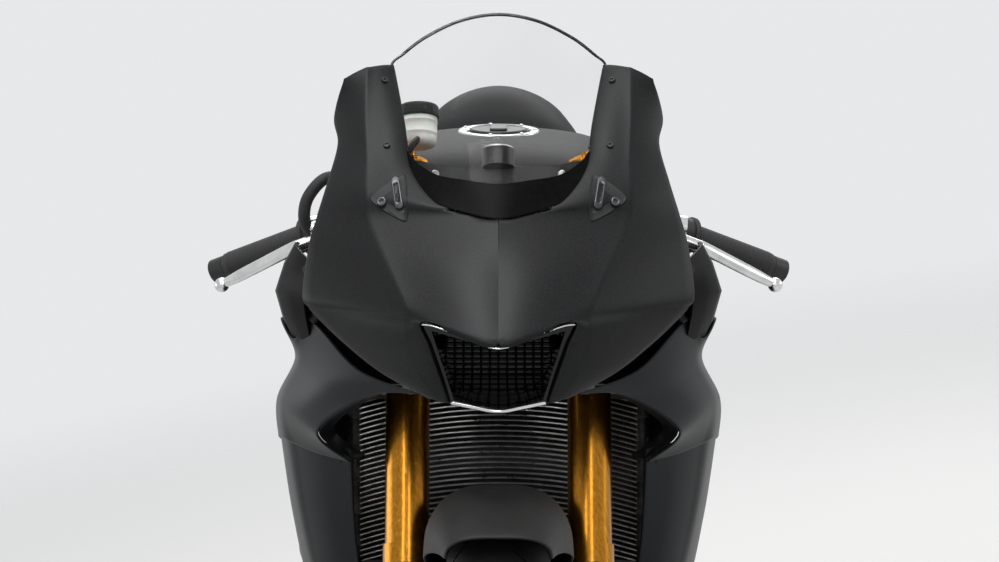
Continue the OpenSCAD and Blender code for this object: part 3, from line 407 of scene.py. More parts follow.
# Closed body through loops of points: two flat ends, then the faces between the loops
def loft(bm, loops, smooth=True):
    rings = [[bm.verts.new(p) for p in ring] for ring in loops]
    made = [bm.faces.new(rings[0][::-1]), bm.faces.new(rings[-1])]
    for a, b in zip(rings, rings[1:]):
        for j in range(len(a)):
            k = (j + 1) % len(a)
            made.append(bm.faces.new((a[j], a[k], b[k], b[j])))
            made[-1].smooth = smooth
    bmesh.ops.recalc_face_normals(bm, faces=made)
    return made


# Rounded section from station, half width, low and high edge, squareness
def rounded(s, m):
    y, half, low, high, square = s
    ring = []
    for i in range(m):
        a = math.tau * i / m
        c, d = math.cos(a), math.sin(a)
        ring.append(Vector((half * math.copysign(abs(c) ** (2 / square), c), y,
                            (low + high) / 2 + (high - low) / 2 * math.copysign(abs(d) ** (2 / square), d))))
    return ring


# Flat plate across the machine: outline in y and z, between two places in x
def plate(bm, outline, x0, x1):
    loft(bm, [[(x, y, z) for y, z in outline] for x in (x0, x1)], smooth=False)


# Turned piece along an axis: pairs of radius and distance
def lathe(bm, at, axis, profile, sides=16, smooth=True):
    axis = axis.normalized()
    u = axis.orthogonal().normalized()
    v = axis.cross(u)
    turns = [math.tau * i / sides for i in range(sides)]
    around = [u * math.cos(t) + v * math.sin(t) for t in turns]
    loft(bm, [[at + axis * h + r * way for way in around] for r, h in profile], smooth)


# Hose, wire or bead: a tube along a smooth route
def hose(bm, route, radius, sides=12, k=8):
    path = [Vector(p) for p in fine(route, k)]
    turns = [math.tau * s / sides for s in range(sides)]
    rings, side = [], None
    for i, p in enumerate(path):
        along = (path[min(i + 1, len(path) - 1)] - path[max(i - 1, 0)]).normalized()
        side = along.orthogonal() if side is None else side - along * side.dot(along)
        side.normalize()
        over = along.cross(side)
        rings.append([p + radius * (side * math.cos(t) + over * math.sin(t)) for t in turns])
    loft(bm, rings)


# Hexagon bolt on its washer, and round-headed screw with a socket
def bolt(bm, at, axis, r):
    at, axis = Vector(at), Vector(axis)
    lathe(bm, at, axis, [(1.5 * r, -1), (1.55 * r, 0.2 * r), (1.45 * r, 0.34 * r), (0.8 * r, 0.34 * r)], 20)
    lathe(bm, at, axis, [(1.12 * r, 0.3 * r), (1.12 * r, 0.98 * r), (0.96 * r, 1.15 * r)], 6, smooth=False)


def screw(bm, at, axis, r):
    head = [(1, -1 / r), (1, 0.35), (0.86, 0.62), (0.52, 0.72), (0.48, 0.25)]
    lathe(bm, Vector(at), Vector(axis), [(r * wide, r * high) for wide, high in head], 18)


# Where a line from outside meets a skin
def meet(skin, start, way):
    way = Vector(way)
    at, out = skin.ray_cast(Vector(start), way)[:2]
    return at, (-out if out.dot(way) > 0 else out)


def softened(loop, times=2):
    for _ in range(times):
        loop = [q for a, b in zip(loop, loop[1:] + loop[:1]) for q in (a.lerp(b, 0.25), a.lerp(b, 0.75))]
    return loop


# Relief that follows the cowl: outline in the front view, pairs of size and lift, then the first dark ring
def stamp(bm, skin, outline, profile, side, dark):
    mid = sum(outline, Vector((0, 0))) / len(outline)
    loops = []
    for size, lift in profile:
        spots = [mid + (p - mid) * size for p in outline]
        found = [meet(skin, (side * q.x, AHEAD, q.y), (0, 1, 0)) for q in spots]
        loops.append([at + out * lift for at, out in found])
    made = loft(bm, loops)
    for face in made[1:2] + made[2 + dark * len(outline):]:
        face.material_index = 1


# Front cowl: inner edge, crease and outer edge of each half rib, then the bulges of its two parts
COWL = [
    ((126, -450, 1099), (155, -466, 1098), (181, -470, 1086), 3, 1),
    ((111, -522, 1036), (155, -518, 1046), (191, -484, 1042), 3.5, 2),
    ((103, -570, 993), (152, -560, 1003), (186, -515, 1014), 3.5, 2),
    ((68, -628, 957), (152, -599, 966), (197, -548, 973), 3, 2),
    ((0, -655, 944), (149, -617, 939), (208, -566, 938), 2.5, 2),
    ((0, -712, 886), (127, -668, 897), (217, -584, 906), 7.5, 2),
    ((0, -775, 822), (106, -712, 858), (224, -604, 852), 6, 3),
    ((44, -757, 832), (101, -722, 844), (217, -611, 838), 3, 3),
    ((87, -737, 840), (103, -725, 832), (203, -621, 824), 0.5, 3),
    ((79, -741, 814), (100, -724, 808), (174, -645, 801), 0.5, 3),
    ((68, -746, 782), (86, -733, 778), (132, -683, 775), 0.5, 2),
    ((57, -749, 752), (66, -742, 753), (78, -731, 755), 0, 0.5),
]


# Half rib with a tight crease; the factors 6.75 and 4 make each bulge as high as its number says
def cowl_rib(inner, crease, outer, bulge, side_bulge, steps=10, tight=0.03):
    a, c, b = Vector(inner), Vector(crease), Vector(outer)
    ways = [s / steps for s in range(steps)]
    rib = []
    for t in ways + [1 - tight]:
        rib.append(a.lerp(c, t) + Vector((0.3, -0.8, 0.3)) * bulge * 6.75 * t * (1 - t) ** 2)
    for t in ways[:1] + [tight] + ways[1:] + [1.0]:
        rib.append(c.lerp(b, t) + Vector((0.7, -0.6, 0.2)) * side_bulge * 4 * t * (1 - t))
    return rib


def make_cowl():
    steps, shoulder_rib, middle_rib, lip_rib = 8, 3, 4, 6
    grid = fine([cowl_rib(*r) for r in COWL], steps)
    for row in grid:
        row[0].x = max(row[0].x, 0.0)
    shoulder, middle = Vector(COWL[shoulder_rib][0]), Vector(COWL[middle_rib][0])
    for row in grid[shoulder_rib * steps:middle_rib * steps + 1]:
        row[0].yz = middle.lerp(shoulder, (row[0].x / shoulder.x) ** 1.5).yz
    bm = bmesh.new()
    for mirrored in (False, True):
        shell(bm, grid, -WALL, open_at=lambda p: p.x < 0.01, mirrored=mirrored)
    bmesh.ops.remove_doubles(bm, verts=bm.verts, dist=0.01)
    skin = BVHTree.FromBMesh(bm)
    add_piece("cowl_shell", bm, "frame", "cowl_paint", PARKED, ("front_cowl",))
    return skin, [row[0] for row in grid[lip_rib * steps:]]


# Screen: half rows from the middle outward, from the nose up
SCREEN = points([
    [(0, -655, 945), (35, -645, 950), (67, -629, 958), (86, -608, 968), (100, -585, 980)],
    [(0, -622, 985), (36, -614, 988), (68, -597, 991), (92, -571, 1001), (106, -547, 1014)],
    [(0, -577, 1032), (38, -572, 1032), (72, -555, 1031), (98, -532, 1033), (112, -513, 1042)],
    [(0, -507, 1094), (40, -505, 1091), (76, -496, 1083), (103, -482, 1074), (120, -471, 1072)],
    [(0, -420, 1158), (45, -424, 1151), (85, -433, 1133), (112, -442, 1114), (127, -450, 1100)],
])


# The lowest rows of the screen are masked in black
def make_screen():
    grid = fine_grid([both(r) for r in SCREEN], 12, 6)
    masked, thick = 11, 3.0
    bm = bmesh.new()
    shell(bm, grid, thick, paint=lambda i, j: int(i < masked))
    add_piece("screen_shell", bm, "frame", "clear", PARKED, ("windscreen",), ("matte_black_and_painted_shade",))


# Side fairing: front edge to rear edge, from the top row down
SIDE = points([
    [(88, -704, 753), (160, -634, 767), (217, -562, 812), (239, -522, 785),
     (256, -480, 803), (247, -345, 770), (226, -210, 722)],
    [(146, -642, 740), (194, -592, 744), (226, -535, 752), (237, -498, 753),
     (241, -425, 747), (244, -290, 714), (236, -130, 656)],
    [(212, -556, 682), (234, -526, 694), (250, -490, 699), (259, -455, 700),
     (266, -382, 686), (265, -240, 648), (242, -60, 590)],
    [(176, -525, 640), (212, -502, 645), (240, -472, 650), (257, -442, 652),
     (266, -352, 634), (261, -210, 596), (236, -20, 528)],
    [(172, -455, 532), (202, -444, 538), (226, -422, 542), (240, -398, 544),
     (251, -318, 530), (247, -180, 496), (224, 6, 440)],
    [(160, -402, 430), (184, -395, 432), (203, -380, 431), (216, -358, 430),
     (227, -298, 418), (223, -174, 396), (200, 20, 362)],
    [(132, -376, 336), (146, -371, 333), (158, -361, 329), (168, -342, 325),
     (177, -284, 316), (175, -176, 302), (163, 24, 286)],
])
# Inset of the lower panel's top edge behind the upper panel, from front to rear, and how far it reaches up
TUCK, OVERLAP = [1.5, 1.5, 1.5, 2, 2, 9, 15], 12


def make_fairings():
    edge = [p + Vector((-t, 0, OVERLAP)) for p, t in zip(SIDE[3], TUCK)]
    upper, lower = (fine_grid(rows, 12, 8) for rows in (SIDE[:4], [edge] + SIDE[4:]))
    flange = []
    for row in upper[8:]:
        flange.append([row[0] + k * Vector((-16, 24, 0)) + Vector((-1, 1, 0)) for k in (0, 0.5, 1)])
    skins = []
    for side, mirrored in (("left", False), ("right", True)):
        bm = bmesh.new()
        for grid in (upper, lower):
            shell(bm, grid, -WALL, mirrored=mirrored)
        skins.append(BVHTree.FromBMesh(bm))
        shell(bm, flange, 1.5, mirrored=mirrored)
        add_piece("fairing_" + side, bm, "frame", "side_paint", PARKED, ("side_fairing_" + side,))
    return skins


# Belly pan: station, then x and z from the middle up to the top edge
BELLY = [(-366, 0, 218, 58, 224, 108, 262, 129, 332), (-290, 0, 178, 76, 186, 134, 232, 174, 316),
         (-176, 0, 160, 88, 168, 146, 212, 172, 302), (24, 0, 166, 82, 172, 138, 208, 160, 286)]


def make_belly():
    rows = [both([Vector((s[k], s[0], s[k + 1])) for k in (1, 3, 5, 7)]) for s in BELLY]
    bm = bmesh.new()
    shell(bm, fine_grid(rows, 10, 8), -WALL)
    add_piece("belly_shell", bm, "frame", "side_paint", PARKED, ("belly_pan",))


# Tank: station, then x and z of the lower edge, knee hollow, shoulder and top edge, and the crown
TANK = [
    (-318, 40, 878, 60, 882, 66, 890, 40, 902, 906), (-285, 78, 852, 116, 864, 124, 896, 78, 930, 938),
    (-215, 96, 774, 146, 850, 160, 905, 104, 956, 967), (-110, 112, 756, 150, 838, 176, 912, 118, 966, 980),
    (-10, 112, 756, 134, 832, 172, 908, 116, 962, 976), (60, 106, 764, 114, 828, 148, 890, 100, 938, 950),
    (108, 100, 778, 104, 822, 120, 868, 80, 905, 915), (142, 96, 790, 98, 816, 100, 846, 66, 870, 878),
]


def tank_ring(s):
    half = [(0, s[2] - 4), (s[1], s[2]), (s[3], s[4]), (s[5], s[6]), (s[7], s[8]), (0, s[9])]
    curve = [Vector(p) for p in fine([(x, s[0], z) for x, z in half], 8)]
    return curve + [flip(p) for p in curve[-2:0:-1]]


def make_tank():
    bm = bmesh.new()
    loft(bm, [tank_ring(s) for s in fine(TANK, 8)])
    add_piece("tank_shell", bm, "frame", "cowl_paint", PARKED, ("fuel_tank",), finish="tank_paint")


# Tail: station, half width, low and high edge, squareness; flanks under the seat from front to rear
TAIL = [(416, 118, 798, 900, 2.6), (470, 122, 802, 938, 2.2), (545, 106, 822, 964, 1.9),
        (640, 80, 848, 954, 1.9), (735, 52, 876, 938, 2.0), (800, 32, 894, 928, 2.2)]
FLANK = points([
    [(122, 30, 772), (132, 30, 734), (130, 30, 690)], [(116, 150, 797), (126, 150, 766), (116, 150, 728)],
    [(139, 255, 812), (147, 255, 788), (134, 255, 756)], [(137, 345, 826), (143, 345, 804), (126, 345, 776)],
    [(116, 432, 850), (122, 432, 824), (108, 432, 796)],
])


def make_tail():
    bm = bmesh.new()
    loft(bm, [rounded(s, 64) for s in fine(TAIL, 8)])
    for mirrored in (False, True):
        shell(bm, fine_grid(FLANK, 10, 8), WALL, mirrored=mirrored)
    add_piece("tail_shell", bm, "frame", "cowl_paint", PARKED, ("tail_cowl",), finish="tank_paint")


# Mudguard and hugger: angle ahead of the top, crown radius, side radius, half width
MUD = [(-58, 326, 268, 66), (-30, 330, 252, 73), (0, 333, 236, 74), (24, 336, 262, 83), (47, 338, 312, 58)]
ARCH = [(0, 0), (0.45, 0.03), (0.76, 0.2), (0.95, 0.55), (1, 1)]
HUG = [(-18, 335, 318, 66), (10, 336, 300, 92), (38, 336, 286, 97), (66, 336, 292, 92), (84, 336, 306, 78)]
HUG_ARCH = [(0, 0), (0.5, 0.05), (0.82, 0.3), (1, 1)]


def arch(s, section):
    a = math.radians(s[0])
    row = []
    for across, down in section:
        r = s[1] + (s[2] - s[1]) * down
        row.append(Vector((s[3] * across, -r * math.sin(a), r * math.cos(a))))
    return both(row)


# Guard over a wheel, smoothed along the wheel and across it
def guard(table, section, k, m):
    return turned(fine(turned([arch(s, section) for s in fine(table, k)]), m))


def make_mudguard():
    bm = bmesh.new()
    shell(bm, guard(MUD, ARCH, 12, 5), -WALL)
    for side in (-1, 1):
        plate(bm, [(-22, 176), (20, 176), (22, 238), (-24, 238)], side * 71.5, side * 87.0)
    add_piece("mudguard_shell", bm, "steering", "black_plastic", STEER, ("front_mudguard",))


def make_hugger():
    hub = Vector((0, REAR_Y, REAR_Z))
    bm = bmesh.new()
    shell(bm, [[p + hub for p in row] for row in guard(HUG, HUG_ARCH, 10, 6)], -3.0)
    top, foot = Vector((-92, 402, 470)), Vector((-122, 372, 398))
    lathe(bm, top, foot - top, [(4, -2), (6, 2), (6, 74), (8, 76), (8, 80)])
    plate(bm, [(226, 400), (350, 372), (350, 380), (226, 410)], -30, 30)
    add_piece("hugger_shell", bm, "frame", "black_plastic", PARKED, ("rear_hugger",))


# Tyres: crowned section, then the wall down to the bead on the rim
BEAD_TOP, BEAD_FOOT = 228.0, 218.0


def tyre_profile(radius, width, crown, seat, steps=16):
    half = math.asin(width / 2 / crown)
    turns = [half * s / steps for s in range(steps + 1)]
    arc = [(crown * math.sin(a), radius - crown + crown * math.cos(a)) for a in turns]
    x, r = arc[-1]
    wall = []
    for t in (0.25, 0.5, 0.75, 1):
        wall.append((x + (seat - x) * t + 2.5 * math.sin(math.pi * t), r + (BEAD_TOP - r) * t))
    return arc, wall + [(seat, BEAD_FOOT)]


# Swept grooves, alternating left and right, are cut between columns of the tread that follow the sweep
def make_tyre(wheel, place, radius, width, crown, seat, pitches, sweep):
    arc, wall = tyre_profile(radius, width, crown, seat)
    first, last, deep, half_wide = 3, 13, 4.0, 3.2
    groove = half_wide / (math.tau * radius / pitches)
    marks = [-groove, -0.6 * groove, 0.6 * groove, groove]
    plain = [0.12, 0.2, 0.3, 0.4, 0.6, 0.7, 0.8, 0.88]
    steps = sorted([m % 1 for m in marks] + [0.5 + m for m in marks] + plain)
    lane = [(x, r, i) for i, (x, r) in enumerate(arc)] + [(x, r, -1) for x, r in wall]
    lane = [(-x, r, i) for x, r, i in lane[:0:-1]] + lane
    bm = bmesh.new()
    rows = []
    for p in range(pitches):
        for f in steps:
            ring = []
            for x, r, i in lane:
                angle = math.tau * (p + f) / pitches + sweep * (abs(x) / (width / 2)) ** 1.4
                near = f if x > 0 else f - 0.5
                near -= round(near)
                if first <= i <= last and abs(near) < 0.7 * groove:
                    r -= deep * min(1.0, (i - first + 1) / 2, (last + 1 - i) / 2)
                ring.append(bm.verts.new((x, r * math.cos(angle), r * math.sin(angle))))
            rows.append(ring)
    for a, b in zip(rows, rows[1:] + rows[:1]):
        for j in range(len(a) - 1):
            bm.faces.new((a[j], b[j], b[j + 1], a[j + 1])).smooth = True
    bmesh.ops.recalc_face_normals(bm, faces=bm.faces)
    shade(add_piece(wheel + "_tread", bm, wheel + "_wheel", "tyre", place, (wheel + "_tyre",)))


# Chain: pins at even steps around both sprockets
PITCH, REAR_TEETH, FRONT_TEETH = 15.875, 48, 16
CHAIN_X = 106.0


def chain_path():
    a, b = Vector((REAR_Y, REAR_Z)), Vector((22.0, 402.0))
    ra, rb = (PITCH / (2 * math.sin(math.pi / n)) for n in (REAR_TEETH, FRONT_TEETH))
    d = a - b
    lie = math.atan2(d.y, d.x)
    spread = math.asin((ra - rb) / d.length)
    start, span = lie - math.pi / 2 - spread, math.pi + 2 * spread

    def at(c, r, t):
        return c + r * Vector((math.cos(t), math.sin(t)))

    path = [at(a, ra, start + span * i / 60) for i in range(61)]
    start, span = lie + math.pi / 2 + spread, math.pi - 2 * spread
    path += [at(b, rb, start + span * i / 24) for i in range(25)]
    path.append(path[0])
    total = sum((q - p).length for p, q in zip(path, path[1:]))
    count = 2 * round(total / PITCH / 2)
    out, want, gone = [], 0.0, 0.0
    for p, q in zip(path, path[1:]):
        step = (q - p).length
        while want < gone + step and len(out) < count:
            out.append(p.lerp(q, (want - gone) / step))
            want += total / count
        gone += step
    return out


# Links: waisted plates, in turn inside and outside, with pins and rollers
def make_chain():
    pins = chain_path()
    end, waist, thick = 6.4, 4.6, 1.8
    across = Vector((1, 0, 0))
    bm = bmesh.new()
    for k, p in enumerate(pins):
        q = pins[(k + 1) % len(pins)]
        along = (q - p).normalized()
        side = Vector((-along.y, along.x))
        outline = []
        for centre, sign in ((p, -1), (q, 1)):
            for i in range(7):
                t = math.pi * (i - 3) / 6
                outline.append(centre + end * sign * (along * math.cos(t) + side * math.sin(t)))
            outline.append(0.5 * (p + q) + sign * waist * side)
        shift = 5.2 if k % 2 else 7.2
        for s in (-1, 1):
            plate(bm, outline, CHAIN_X + s * shift, CHAIN_X + s * (shift + thick))
        lathe(bm, Vector((CHAIN_X - 9.6, *p)), across, [(2.6, 0), (2.6, 19.2)], 8)
        lathe(bm, Vector((CHAIN_X - 5, *p)), across, [(4.9, 0), (4.9, 10)], 10)
    add_piece("chain_links", bm, "frame", "steel", PARKED, ("chain",))


# Mirror pockets beside the screen: three-cornered recess, bolt and slotted plug; then the screen screws
def make_plugs(skin):
    corners = [(149, 968), (148, 959), (108, 938), (103, 944), (106, 986), (112, 991)]
    pocket = softened([Vector(c) for c in corners])
    top, low, radius = Vector((119, 981)), Vector((114, 958)), 5
    along = (top - low).normalized()
    across = Vector((along.y, -along.x))
    plug = []
    for s in range(18):
        t = math.radians(20 * s)
        plug.append((top if s < 9 else low) + radius * (across * math.cos(t) + along * math.sin(t)))
    rim = [(1.02, -0.8), (1.0, 0.6), (0.96, 1.0), (0.92, 0.5), (0.88, 0.15), (0.45, 0.15)]
    slot = [(1.0, -0.5), (1.0, 2.0), (0.9, 2.8), (0.68, 2.8), (0.6, 2.4), (0.56, 0.9)]
    recess, metal, heads = bmesh.new(), bmesh.new(), bmesh.new()
    screws = ((metal, 134, 960, 6.0), (metal, 110, 950, 1.8),
              (heads, 134, 1086, 4.2), (heads, 130, 1018, 4.2))
    for side in (1, -1):
        stamp(recess, skin, pocket, rim, side, 3)
        stamp(metal, skin, plug, slot, side, 4)
        for group, x, z, r in screws:
            screw(group, *meet(skin, (side * x, AHEAD, z), (0, 1, 0)), r)
    add_piece("mirror_pockets", recess, "frame", "cowl_paint", PARKED, slots=("black_plastic",))
    add_piece("mirror_plugs", metal, "frame", "frame_metal", PARKED, slots=("gloss_black",))
    add_piece("screen_screws", heads, "frame", "black_metal", PARKED)


# Bright tube just ahead of the intake lip, a painted highlight where the cowl's edge catches the light; the bright
# lower blade of the intake and the edge of the screen
def make_trim(lip):
    bm = bmesh.new()
    # Painted highlight: a thin bright tube along the cowl's lip, where its edge catches the light
    ahead = Vector((0, -1.6, -1.9))
    brow = [p + ahead for p in lip[1:17:3]]
    hose(bm, [flip(p) for p in brow[::-1]] + brow, 0.9, 8, 4)
    hose(bm, both([(0, -773, 745), (26, -762, 747.5), (53, -750.5, 751)]), 2.1, 10)
    add_piece("nose_trim_and_edge_highlight", bm, "frame", "bright", PARKED)
    bm = bmesh.new()
    sides = [SCREEN[i][4] for i in (3, 2, 1)]
    hose(bm, [flip(p) for p in sides[::-1]] + both(SCREEN[4]) + sides, 1.7, 8)
    add_piece("screen_edge", bm, "frame", "lens", PARKED)


# Duct behind the lip, and a grille in it that widens upward, under a brow that rises to the sides; both take a
# darker black than their plastic, as painted shade inside the intake
def make_grille(lip):
    foot, brow, top, narrow, broad = 755, 815, 832, 50, 75
    bm = bmesh.new()
    for mirrored in (False, True):
        shell(bm, [[p + Vector((0, back, 0)) for back in (2, 30, 60)] for p in lip], 1.5, mirrored=mirrored)
    for z in range(foot + 2, top, 6):
        wide = narrow + (z - foot) / (top - foot) * (broad - narrow)
        start = max(0.0, (z - brow) / (top - brow) * broad)
        for a, b in ([(-start, -wide), (start, wide)] if start else [(-wide, wide)]):
            hose(bm, [(a, -700, z), (b, -700, z)], 1.1, 6, 1)
    for x in range(-70, 71, 10):
        low = foot - 1 + max(0, abs(x) - narrow) / (broad - narrow) * (top - foot)
        high = brow + abs(x) / broad * (top - brow)
        hose(bm, [(x, -701, low), (x, -701, high)], 1.1, 6, 1)
    # The darker matte black of the screen's mask is painted shade here, on duct walls that would catch the light
    add_piece("intake_grille", bm, "frame", "black_plastic", PARKED, finish="matte_black_and_painted_shade")


# Brake fluid cup with its lid and bracket, and the hose loop by the right grip
def make_reservoir():
    base = Vector((-95.5, -21, 757))
    cup, lid, arm, loop = (bmesh.new() for _ in range(4))
    rim = [(14, -3), (19, -1), (21.5, 3), (22, 8)]
    for h in (12, 27):
        rim += [(22, h), (22.5, h + 0.5), (22.5, h + 1.5), (22, h + 2)]
    lathe(cup, base, UP, rim + [(22, 34)], 40)
    lathe(lid, base, UP, [(22, 33.5), (24, 34.5), (24, 36), (23.2, 37)], 40)
    lathe(lid, base, UP, [(24, 37), (24, 46), (22.6, 48.5), (18, 49), (17, 48)], 20, smooth=False)
    for side in (-1, 1):
        screw(lid, base + Vector((side * 20, 0, 48)), UP, 2.4)
    hose(arm, [(-95.5, -39, 761), (-112, -40, 738), (-150, -27, 692), (-170.3, -17.9, 671.7)], 4)
    hose(loop, [(-176, -398, 930), (-186, -412, 958), (-208, -426, 962), (-228, -434, 940),
                (-232, -434, 914), (-222, -426, 898), (-206, -414, 892)], 7.5, 14)
    add_piece("fluid_cup", cup, "steering", "cup", STEER, ("brake_reservoir",))
    add_piece("fluid_lid", lid, "steering", "black_plastic", STEER)
    add_piece("fluid_bracket", arm, "steering", "black_metal", STEER)
    add_piece("master_hose", loop, "steering", "rubber", PARKED)


# Lock in the top clamp: bright ring around a slotted barrel
def make_lock():
    at = Vector((0, -16, 752.5))
    bm = bmesh.new()
    lathe(bm, at, UP, [(18.5, 0), (18.5, 1.6), (17, 2.6), (13, 2.6), (12, 0.8)], 40)
    lathe(bm, at, UP, [(9.5, 0), (9.5, 3), (8.5, 3.8), (3, 3.8), (2.6, 1)], 28)
    add_piece("lock_barrel", bm, "steering", "steel", STEER)


# Left handlebar: where it starts beside the fork, and its way outward, down and back
FALL, SWEEP = math.radians(9), math.radians(34)
BAR_START = Vector((137.5, 4, 686))
BAR_DIR = Vector((math.cos(FALL) * math.cos(SWEEP), math.cos(FALL) * math.sin(SWEEP), -math.sin(FALL)))
# Lever blade over its core, from root to ball: part of the way, half thickness and half height
BLADE = [(-0.02, 6, 7), (0.06, 6.6, 8.5), (0.4, 6.2, 8.6), (0.75, 6, 8), (0.88, 5.9, 6.6), (0.94, 5.6, 5.8)]


def make_blades():
    root = BAR_START + 116 * BAR_DIR + Vector((8, -74, -32))
    ball = BAR_START + 214 * BAR_DIR + Vector((22, -58, -46))
    along = (ball - root).normalized()
    lie = Vector((0, 0.35, 1))
    wide = (lie - along * along.dot(lie)).normalized()
    thin = along.cross(wide)
    angles = [math.tau * i / 20 for i in range(20)]
    bm = bmesh.new()
    for turn in SIDES:
        loops = []
        for t, w, h in BLADE:
            at = root.lerp(ball, t)
            loops.append([(at + h * wide * math.cos(a) + w * thin * math.sin(a)) * turn for a in angles])
        loft(bm, fine(loops, 5))
    add_piece("lever_blades", bm, "steering", "bright", STEER)


# Ridged grips
def make_grips():
    profile = [(19, 110.5), (24, 111.5), (24, 115), (22, 116), (16.5, 117.5)]
    for h in range(120, 232, 4):
        profile += [(16.4, h), (17.0, h + 0.7), (17.0, h + 2.3), (16.4, h + 3)]
    profile += [(16.4, 235), (15, 237.5)]
    bm = bmesh.new()
    for turn in SIDES:
        lathe(bm, BAR_START * turn, BAR_DIR * turn, profile, 28)
    add_piece("ridged_grips", bm, "steering", "rubber", STEER, ("grips",))


# Filler: bright ring with its screws, sunk lid with a raised flap
def make_cap():
    at = Matrix.Translation((0, -84, 970)) @ Matrix.Rotation(math.radians(1.5), 4, "X")
    ring, lid = bmesh.new(), bmesh.new()
    lathe(ring, Vector(), UP, [(52, 0), (52, 8.5), (50.5, 10), (44, 10), (42, 9), (41, 7)], 72)
    for i in range(7):
        t = math.tau * i / 7
        screw(ring, Vector((47 * math.cos(t), 47 * math.sin(t), 10)), UP, 2.6)
    lathe(lid, Vector((0, 0, 6)), UP, [(37, 0), (37, 4.5), (35.5, 6), (30, 6), (29, 5.2)], 60)
    flap = ((-10, -26), (10, -26), (11, -24), (11, 13), (9, 15), (-9, 15), (-11, 13), (-11, -24))
    rows = [[Vector((x, y, z)) for x, y in flap] for z in (11, 14.4)]
    rows.append([Vector((x * 0.9, y * 0.94 - 0.4, 15.2)) for x, y in flap])
    loft(lid, rows)
    add_piece("filler_ring", ring, "frame", "bright", PARKED @ at, ("fuel_cap",))
    add_piece("filler_lid", lid, "frame", "black_metal", PARKED @ at)


# Display of the instruments
def make_display():
    at = Matrix.Translation((0, -562, 914)) @ Matrix.Rotation(math.radians(-38), 4, "X")
    bm = bmesh.new()
    outline = softened([Vector(c) for c in ((-61, 20), (61, 20), (57, -24), (-57, -24))], 3)
    layers = ((1, 32.5), (1, 33.6), (0.97, 34.2))
    loft(bm, [[Vector((p.x * k, p.y * k, z)) for p in outline] for k, z in layers])
    add_piece("display", bm, "frame", "lens", PARKED @ at)


# Places around an axle: y and z, counted from the bottom
def circle(count, radius, first=0):
    turns = [math.radians(first + 360 / count * i) for i in range(count)]
    return [(radius * math.sin(t), -radius * math.cos(t)) for t in turns]


# Turned profiles of small parts, and the places of the fairing screws in y and z
DISC_BUTTON = [(8, -7), (8, 0.8), (6.8, 1.6), (4.2, 1.6), (3.8, 0.4)]
REAR_BUTTON = [(7, -6), (7, 0.8), (6, 1.6), (4, 1.6), (3.6, 0.4)]
PISTON_CAP = [(14, 0), (14, 1.5), (12.5, 2.5), (9, 2.5), (8, 1.2)]
VALVE = [(6, 0), (5, 3), (3.2, 6), (3, 18), (3.8, 19), (3.8, 26), (3, 27)]
FAIRING_SCREWS = [(-440, 772), (-300, 736), (-190, 694), (-400, 662), (-240, 626), (-60, 566),
                  (-320, 338), (-180, 322), (-10, 304)]


# Small fasteners, by the body they ride
def make_fasteners(skins):
    steer, front, rear, chassis, trim = (bmesh.new() for _ in range(5))
    caliper = (Matrix.Translation((63, 0, 0)) @ Matrix.Rotation(math.radians(-44), 4, "X")
               @ Matrix.Translation((0, 0, 138)))
    radial = caliper.to_3x3() @ UP
    for turn, skin in zip(SIDES, skins):
        side, out = turn.x, Vector((turn.x, 0, 0))
        for z in (492, 512, 720):
            screw(steer, Vector((76.5, -21.5, z)) * turn, (0, -1, 0), 5.5)
        screw(steer, Vector((84, 26, 686)) * turn, (0, 1, 0), 5)
        for x in (96, 122):
            screw(steer, Vector((x, -24.5, -8)) * turn, (0, -1, 0), 5)
        for end in (1, -1):
            bolt(steer, (caliper @ Vector((33, end * 30, 10))) * turn, radial, 6)
            screw(steer, (caliper @ Vector((25, end * 48, 8))) * turn, out, 5)
            lathe(steer, (caliper @ Vector((29.5, end * 27, -3))) * turn, out, PISTON_CAP, 28)
        for y, z in circle(10, 125):
            lathe(front, Vector((side * 66, y, z)), out, DISC_BUTTON, 18)
        for y, z in circle(5, 48, 18):
            screw(front, (side * 66, y, z), out, 6)
        for y, z in ((108, 508), (130, 446)):
            screw(chassis, (side * 175, y, z), out, 6)
        for x, y, z, r in ((166, 100, 400, 12), (174, -90, 650, 8), (171.5, 0, 560, 8)):
            bolt(chassis, (side * x, y, z), out, r)
        bolt(chassis, (side * 135, 734, 316), (0, 1, 0), 6)
        for y, z in FAIRING_SCREWS:
            screw(trim, *meet(skin, (side * 600, y, z), -out), 5)
    for y, z in circle(10, 78):
        lathe(rear, Vector((-84, y, z)), Vector((-1, 0, 0)), REAR_BUTTON, 18)
    for y, z in circle(5, 48, 18):
        screw(rear, (-84, y, z), (-1, 0, 0), 6)
    for y, z in circle(6, 54):
        bolt(rear, (109.5, y, z), (1, 0, 0), 5.5)
    valve_turn = math.radians(36)
    spoke = Vector((0, math.sin(valve_turn), math.cos(valve_turn)))
    for group in (front, rear):
        lathe(group, 193 * spoke, -spoke, VALVE, 14)
    for y, z in ((-58, 458), (50, 452), (44, 342), (-58, 350)):
        screw(chassis, (132, y, z), (1, 0, 0), 4.5)
    for x, y, z, r, way in ((170, -176, 396, 71, 1), (-172, -140, 412, 77, -1)):
        for dy, dz in circle(10, r):
            screw(chassis, (x, y + dy, z + dz), (way, 0, 0), 3.2)
    add_piece("front_end_bolts", steer, "steering", "steel", STEER)
    add_piece("front_wheel_bolts", front, "front_wheel", "steel", FRONT_WHEEL)
    add_piece("rear_wheel_bolts", rear, "rear_wheel", "steel", REAR_WHEEL)
    add_piece("frame_bolts", chassis, "frame", "steel", PARKED)
    add_piece("fairing_screws", trim, "frame", "frame_metal", PARKED)


